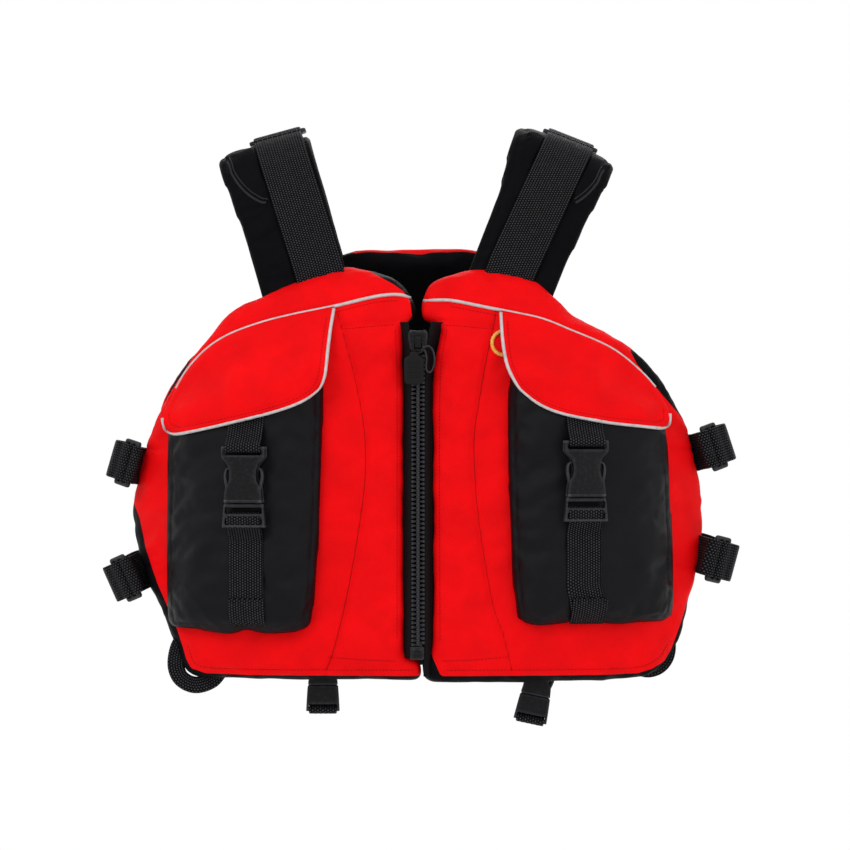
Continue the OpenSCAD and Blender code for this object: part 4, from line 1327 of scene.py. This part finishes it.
def pocket_strap(side, under):
    """Buckle and webbing lying on the pocket. `under` are the surfaces below. Returns the upper belt's."""
    strap_x, z, foot, lean = POCKET_STRAP[side].values()
    w, t = 44.0, 13.0
    front, slider = f"front_{side}", f"pocket_buckle_{side}"
    # The cloth's face along the strap, and its slope across it
    level, across = np.linspace(56, 336, 141), np.array([-16.0, 0, 16.0])
    face = np.min([s.y(strap_x + across[:, None], level[None], 0).reshape(3, -1) for s in under], axis=0)
    lies = (level > 90) & (level < 250)
    slope = np.median((face[2] - face[0])[lies]) / np.ptp(across)
    face = smoothed(np.min(face - slope * across[:, None], axis=0), 40)
    rest = np.min(face[(level > z - 24) & (level < z + 56)]) - 2.6
    turn = math.atan(slope)

    def place(p):
        p = np.asarray(p, float)
        return np.stack([strap_x + p[:, 0] * math.cos(turn) - p[:, 1] * math.sin(turn),
                         rest + p[:, 0] * math.sin(turn) + p[:, 1] * math.cos(turn), p[:, 2]], 1)

    def on_cloth(x, height, out=1.3):
        return (x, float(np.interp(height, level, face)) - rest - out, height)

    for half, part, body, node in (("socket", socket(w, 56, t), front, "female"),
                                   ("plug", plug(w, 25, t, 31), slider, "male")):
        add_piece(f"{side}_pocket_{half}", moved(moved(part, (0, 0, z)), place), "plastic", body,
                  [f"{side}_pocket_buckle_{node}"], sharp=50)
    # From under the flap down to the socket's bar, round it and back up behind
    top = z + 56
    path = [on_cloth(0, h) for h in range(334, top + 18, -6)]
    path += [(0, -t * 0.55, top + 8), (0, -t * 0.98, top + 3), (0, -t - 1.6, top - 0.5),
             (0, -t - 1.2, top - 4.2), (0, -t * 0.72, top - 6), (0, -t * 0.3, top - 5.4)]
    upper = moved(belt(spline(path, 1.2), (1, 0, 0), 36), place)
    add_piece(f"{side}_pocket_belt_upper", upper, "webbing", front, [f"{side}_pocket_strap_upper"])
    path = [on_cloth(lean * np.clip((100 - h) / 30, 0, 1), h) for h in np.arange(foot, z - 36, 6)]
    path += [(0, -t * 0.25, z - 30), (0, -t * 0.62, z - 24), (0, -t * 0.78, z - 19),
             (0, -t * 0.8, z - 13.5), (0, -t * 0.5, z - 10)]
    fold = [on_cloth(lean, h, 3.2) for h in np.arange(foot + 1, foot + 27, 5)]
    lower = merge([belt(spline(path, 1.2), (1, 0, 0), 35), belt(spline(fold, 1.2), (1, 0, 0), 36)])
    add_piece(f"{side}_pocket_belt_lower", moved(lower, place), "webbing",
              (front, slider, row(0, 0, 92), row(0, 0, z - 26)), [f"{side}_pocket_strap_lower"])
    box = [(-15, 4), (15, 4), (15, 22), (-15, 22), (-15, 4), (15, 22)]
    line = resample(np.array([on_cloth(x + lean, foot + v, 4.4) for x, v in box]), 1.5)
    add_piece(f"{side}_pocket_belt_stitching", moved(box_stitching(line), place), "black_thread", front)
    return Surface(*upper[:2])


CROTCH = {"left": {"x": 119, "drop": 11, "tilt": 12}, "right": {"x": -96.5, "drop": 0, "tilt": 0}}


def crotch_strap(side):
    """Buckle behind the hem and the webbing through it, the whole tilted in the front view."""
    c, w, t = CROTCH[side], 34.0, 10.0
    y = float(front_y(abs(c["x"]) + 26, 0)) + PANEL_T + 2 + t
    z, a = -4 - c["drop"], math.radians(c["tilt"])
    front, slider = f"front_{side}", f"crotch_buckle_{side}"

    def place(points):
        p = np.asarray(points, float)
        return np.stack([p[:, 0] * math.cos(a) + p[:, 2] * math.sin(a), p[:, 1],
                         p[:, 2] * math.cos(a) - p[:, 0] * math.sin(a)], 1) + (c["x"], y, z)

    for half, part, body, node in (("socket", socket(w, 38, t), front, "female"),
                                   ("plug", plug(w, 27.5, t, 21, [(-0.80, 0.13)]), slider, "male")):
        add_piece(f"{side}_crotch_{half}", moved(part, place), "plastic", body,
                  [f"{side}_crotch_buckle_{node}"], sharp=50)
    hanger = [(0, -t - 0.3, 74), (0, -t - 0.3, 44), (0, -t * 0.8, 40), (0, -t * 0.5, 39.3)]
    strap = [(0, 1.6, 74), (0, 1.6, 20), (0, 1.4, -6), (0, 1.4, -20), (0, -0.6, -27), (0, -5, -28.8),
             (0, -8.8, -27.2), (0, -8.6, -24.2), (0, -5, -22.6), (0, -1, -20)]
    webs = merge([belt(spline(l, 1.2), (1, 0, 0), 28.2) for l in (hanger, strap)])
    add_piece(f"{side}_crotch_belt", moved(webs, place), "webbing",
              (front, slider, row(0, 0, 40), row(0, 0, z - 4)), [f"{side}_crotch_strap"])


# ---------------------------------------------------------------- side adjusters and hem loops

# A ladder lock's place and turn in plan
LOCK_AT, LOCK_TURN = np.array([299.0, -44.0]), math.radians(52)
LOCK_COS, LOCK_SIN = math.cos(LOCK_TURN), math.sin(LOCK_TURN)
# (height, tilt of its outer end upwards in degrees, reach outwards) of each strap as it lies
SIDE_STRAPS = {"right": {"lower": (111, -24, 0), "upper": (216, 16, -3)},
               "left": {"lower": (129, -15, 7), "upper": (230, 18, 3)}}
SIDE_W = 38.0


def on_lock(x, out=0.0):
    """A point in plan, x along the ladder lock and `out` from its face."""
    return LOCK_AT + (x * LOCK_COS + out * LOCK_SIN, x * LOCK_SIN - out * LOCK_COS)


def lie(side, level, p):
    """Points given in plan and height about a side strap's middle line, tilted as that strap lies."""
    z, tilt, reach = SIDE_STRAPS[side][level]
    p, edge = np.asarray(p, float), 280.0
    fade = np.clip((62 - p[:, 1]) / 50, 0, 1)
    a = np.radians(tilt) * fade * fade * (3 - 2 * fade)
    out = p[:, 0] - edge + reach * fade * np.clip((p[:, 0] - edge) / 10, 0, 1)
    return np.stack([(edge + out * np.cos(a) - p[:, 2] * np.sin(a)) * SIDES[side], p[:, 1],
                     z + out * np.sin(a) + p[:, 2] * np.cos(a)], 1)


def side_adjusters(side):
    near = on_lock(-10.9)
    tab = [(274, -22), (283, -33), (286, -46), near + (-5.4, -2.2), near + (-2.4, -4.2), near + (1.2, -4.6),
           near + (4.4, -2.0), near + (3.4, 2.4), near + (-1.5, 3.0), (288.5, -39), (280, -27)]
    web = [(257, 69), (275, 58), (292, 40), (305, 20), (314, -2), (318, -22), (315.5, -38),
           on_lock(8, 7.5), on_lock(1, 8.5), on_lock(-4, 6), on_lock(-5.6, 0), on_lock(-2, -4.6),
           on_lock(6, -6), (305, -24), (309, -4)]
    tab, web = (np.insert(spline(l, 1.2), 2, 0, axis=1) for l in (tab, web))
    # The webbing is split just behind the lock
    split = int(np.argmax(web[:, 1] < -18))
    k, front = SIDES[side], f"front_{side}"
    for level, (z, *_) in SIDE_STRAPS[side].items():
        name, lock = f"{side}_{level}_side", f"{level}_lock_{side}"
        runs = [("tab", tab, (front, lock), ((278, -40), (287, -50)), "tabs"),
                ("belt", web[:split + 1], ("back", front), ((280, 44), (300, -16)), "webbing"),
                ("thread", web[split:], (front, lock), ((318, -20), (314, -36)), "webbing")]
        for kind, path, bodies, bend_line, node in runs:
            web_part = to_side(side, belt(path, (0, 0, 1), SIDE_W), lambda side, p: lie(side, level, p))
            add_piece(f"{name}_{kind}", web_part, "webbing",
                      (*bodies, *(row(x * k, y, z) for x, y in bend_line)), [f"{side}_side_{node}"])
            if kind == "belt":
                ends = [(2, -14), (16, -14), (16, 14), (2, 14), (2, -14), (16, 14)]
                at, height = resample(ends, 1.5).T
                line = np.column_stack([read_off(at, lengths(path), path[:, :2]) + (0.9, 1.0), height])
                sewing = box_stitching(lie(side, level, line), (0.5 * k, 0.87, 0))
                add_piece(f"{name}_stitching", sewing, "black_thread", "back")
        ladder_lock(side, level)


def ladder_lock(side, level):
    length, height, thick = 26.0, SIDE_W + 10, 4.6
    holes = [rounded_box(6.4, SIDE_W + 1, 1.2, x) for x in (-5.6, 5.0)]
    bars = moulded(rounded_box(length, height, 3), thick, 1.4, 1.7, y=thick / 2, holes=holes)
    grip = moulded(rounded_box(3.6, SIDE_W, 1.4, 10.4), 6.4, 1.5, y=3.2)

    def place(side, p):
        at = np.stack([LOCK_AT[0] + p[:, 0] * LOCK_COS - p[:, 1] * LOCK_SIN,
                       LOCK_AT[1] + p[:, 0] * LOCK_SIN + p[:, 1] * LOCK_COS, p[:, 2]], 1)
        return lie(side, level, at)

    add_piece(f"{side}_{level}_ladder", to_side(side, merge([bars, grip]), place), "plastic",
              f"{level}_lock_{side}", [f"{side}_{level}_ladder_lock"], sharp=50)


# Each hem loop's path in the front view, and how deep behind the front it lies
HEM_LOOP = {"right": ([(236, 46), (243, 32), (245, 15), (239, 2), (225, -4), (209, 1), (199, 13)], -62.0),
            "left": ([(247, 54), (253, 39), (252, 25), (245, 15), (234, 11), (222, 14), (214, 20)], -50.0)}


def hem_loop(side):
    """Flat loop of webbing standing out round the lower corner, sewn behind the hem at both ends."""
    path, depth = HEM_LOOP[side]
    line = np.insert(spline(mirrored(path, side), 1.2), 1, depth, axis=1)
    web = belt(line, lambda path: np.cross(tangents(path), (0, 1, 0)), 17, 2.0)
    add_piece(f"{side}_hem_belt", web, "webbing", f"front_{side}", [f"{side}_hem_loop"])


# ---------------------------------------------------------------- zip and gear ring

# The teeth's front, the ends of their row and their spacing
ZIP_Y, ZIP_LOW, ZIP_HIGH, PITCH = -105.4, 38.0, 331.0, 4.4


def zip_side(side):
    k, body, is_left = SIDES[side], f"front_{side}", side == "left"
    z = np.concatenate([np.arange(8 if is_left else 26, 330, 3.0), np.arange(330, 364, 2.0)])
    # Above the slider the two tapes part
    part = np.clip((z - 333) / 30, 0, 1) * (8 if is_left else 4)
    line = [(5.4, 0.2), (6.2, -0.5), (8, -0.3), (10.5, 1.2), (12.5, 4.5), (14.5, 9), (19, 13)]
    line += [(x, y + 1.3) for x, y in line[::-1]]
    tape = np.array([[((x + s) * k, ZIP_Y + y, height) for x, y in line] for s, height in zip(part, z)])
    p, faces = tape.reshape(-1, 3), facing(side, tube_faces(len(z), len(line)))
    add_piece(f"{side}_tape", (p, faces, p[:, [0, 2]] * MM), "zip_tape", body, [f"{side}_zip_tape"])
    half = [(6.6, -1.5), (6.6, 1.5), (4.3, 1.45), (2.9, 0.9), (1.7, 0.85), (0.8, 1.35), (-0.8, 1.3),
            (-1.7, 0.6)]
    tooth = moulded(np.array(half + [(x, -z) for x, z in half[:0:-1]])[::-1], 4.9, 0.6, 1.1)
    low = ZIP_LOW + 1.6 + (PITCH / 2 if is_left else 0)
    row_of_teeth = merge([moved(tooth, (0, 0, height)) for height in np.arange(low, ZIP_HIGH - 1, PITCH)])
    placed = to_side(side, row_of_teeth, lambda side, p: p * (k, 1, 1) + (0, ZIP_Y + 2.45, 0))
    add_piece(f"{side}_teeth", placed, "zip_plastic", body, [f"{side}_zip_teeth"], sharp=50)


def zip_ends():
    """Retainer box on the wearer's right half and the pin of the left half that stands in it."""
    box = moulded(rounded_box(14, 13, 1.6, -0.8, 31.2), 8.6, 1.3, 1.2, 0.5, ZIP_Y + 4.3)
    groove = moulded(rounded_box(9, 1.2, 0.5, -0.8, 35.0), 1.2, 0.4, 0.8, y=ZIP_Y - 3.9)
    add_piece("retainer_box", merge([box, groove]), "zip_plastic", "front_right", ["zip_box"], sharp=50)
    pin = moulded(rounded_box(3.4, 13, 1.2, 2.6, 34.5), 3, 0.9, 0.9, y=ZIP_Y + 1.5)
    add_piece("insertion_pin", pin, "zip_plastic", "front_left", ["zip_pin"])


def zip_slider():
    """The slider's plates, lips, wedge and crown, then its pull with a link and a cord loop."""
    outline = both_sides([(5.2, 0), (6.8, 1.6), (8.2, 7), (9.8, 14), (9.6, 19), (7.6, 22), (2.4, 21)])
    parts = [moulded(outline, 2.4, 1.0, 1.3, 0.8, -2.9), moulded(outline, 2.2, 0.9, 1.4, y=6.3)]
    for k in (-1, 1):
        lip = (np.array([(7.9, 3), (9.0, 8), (9.9, 14), (8.3, 14), (7.1, 4)]) * (k, 1))[::k]
        parts += [moulded(lip, 1.3, 0.4, 1.2, y=-1.7), moulded(lip, 2.2, 0.5, 1.2, y=4.3)]
    parts.append(moulded(both_sides([(0.3, 12), (1.2, 16), (2.6, 20)]), 7.6, 0.4, 1.0, y=2.0))
    crown = [(0, -5.0, 3.6), (0, -8.0, 4.4), (0, -9.6, 8), (0, -9.2, 12.4), (0, -6.4, 15), (0, -4.6, 15.2)]
    band = [(3.0, 0.9), (3.4, 0), (3.0, -0.9), (-3.0, -0.9), (-3.4, 0), (-3.0, 0.9)]
    parts.append(sweep(spline(crown, 0.8), (1, 0, 0), band))
    add_piece("slider_body", moved(merge(parts), (0, ZIP_Y, SLIDER_LOW)), "zip_plastic", "zip_slider",
              ["zip_slider"], sharp=50)
    pivot = (0, ZIP_Y - 8.75, SLIDER_LOW + 8.5)
    link = [(-4.2, 0, 0.6), (-4.9, -0.3, -3.5), (-4.4, -0.4, -8), (0, -0.4, -10), (4.4, -0.4, -8),
            (4.9, -0.3, -3.5), (4.2, 0, 0.6), (0, 0.6, 1.2), (-4.2, 0, 0.6)]
    tab = both_sides([(7.6, -41), (9.7, -38), (10, -20), (9.6, -15), (4.2, -12), (3.4, -8.5)]) + (-4, 0)
    grips = [moulded(rounded_box(13, 1.3, 0.6, -4, -33 + 4.6 * step), 1.2, 0.45, 0.9, y=-1.9)
             for step in range(4)]
    pull = merge([tube(spline(link, 0.9), 1.15), moulded(tab, 3.0, 1.1, 1.5, 0.5, 1.1), *grips])
    add_piece("pull_tab", moved(pull, pivot), "pull_rubber", "zip_pull", ["zip_pull"], sharp=50)
    loop = [(5, -0.6, -4), (11, -0.2, -3.2), (15, 0.2, -8), (16.5, 0.6, -17), (14.5, 0.8, -26),
            (11, 0.8, -29), (8.2, 0.6, -25), (8.6, 0.2, -15), (7, -0.2, -8), (3.6, -0.6, -6)]
    add_piece("pull_loop", tube(spline(loop, 1.0) + pivot, 1.0), "zip_plastic", "zip_pull")


# The gear ring's middle in the front view, its radius and its cord's
RING_X, RING_Z, RING_MIDDLE, RING_R = 86.0, 341.0, 12.0, 1.9


def gear_ring(panel):
    """The ring leans on the cover, one half of it and its loop under the flap's edge."""
    low, top = RING_Z - RING_MIDDLE, RING_Z + RING_MIDDLE
    beside = RING_X + np.array((-8.0, -4.0, 0.0))
    foot, y = (float(np.min(panel.y(beside, z))) - RING_R / 2 for z in (low, top))
    turn = np.linspace(0, 2 * math.pi, 97)[:-1]
    minor = np.linspace(0, 2 * math.pi, 16, endpoint=False)
    # The cord's twist shows as a slight swelling, 24 times round
    fat = RING_R * (1 + 0.07 * np.sin(24 * turn))[:, None]
    big = RING_MIDDLE + fat * np.cos(minor)
    z = RING_Z + big * np.sin(turn)[:, None]
    lean = (z - top) * (y - foot) / (top - low)
    p = np.stack([RING_X + big * np.cos(turn)[:, None], y + lean + fat * np.sin(minor), z], 2)
    n, m = len(turn), len(minor)
    faces = [(i * m + j, i * m + (j + 1) % m, (i + 1) % n * m + (j + 1) % m, (i + 1) % n * m + j)
             for i in range(n) for j in range(m)]
    uv = np.stack([np.repeat(turn * RING_MIDDLE, m), np.tile(minor * RING_R, n)], 1) * MM
    add_piece("clip_ring", (p.reshape(-1, 3), faces, uv), "ring_cord", "gear_ring", ["gear_ring"])
    path = [(RING_X, y + back, top + up) for back, up in
            ((16, 19), (9, 9), (1, 4.2), (-3.4, 1), (-2.6, -3.4), (1.4, -3.6), (3.6, 1), (10, 7))]
    loop = belt(spline(path, 1.0), (1, 0, 0), 7, 1.1, cell=1.2, grain=0.08, step=0.8)
    add_piece("ring_loop", loop, "webbing", "front_left", ["ring_tab"])


# ---------------------------------------------------------------- the whole jacket

set_up_camera()
set_up_light()
set_up_floor()
back_panel()
panels = {half: front_half(half) for half in SIDES}
for half, panel_surface in panels.items():
    yoke_piping(half, panel_surface)
    pouch_surface = pocket(half, panel_surface)
    strap_surface = pocket_strap(half, (panel_surface, pouch_surface))
    flap(half, (panel_surface, pouch_surface, strap_surface))
    shoulder_strap(half)
    crotch_strap(half)
    side_adjusters(half)
    hem_loop(half)
    zip_side(half)
zip_ends()
zip_slider()
gear_ring(panels["left"])
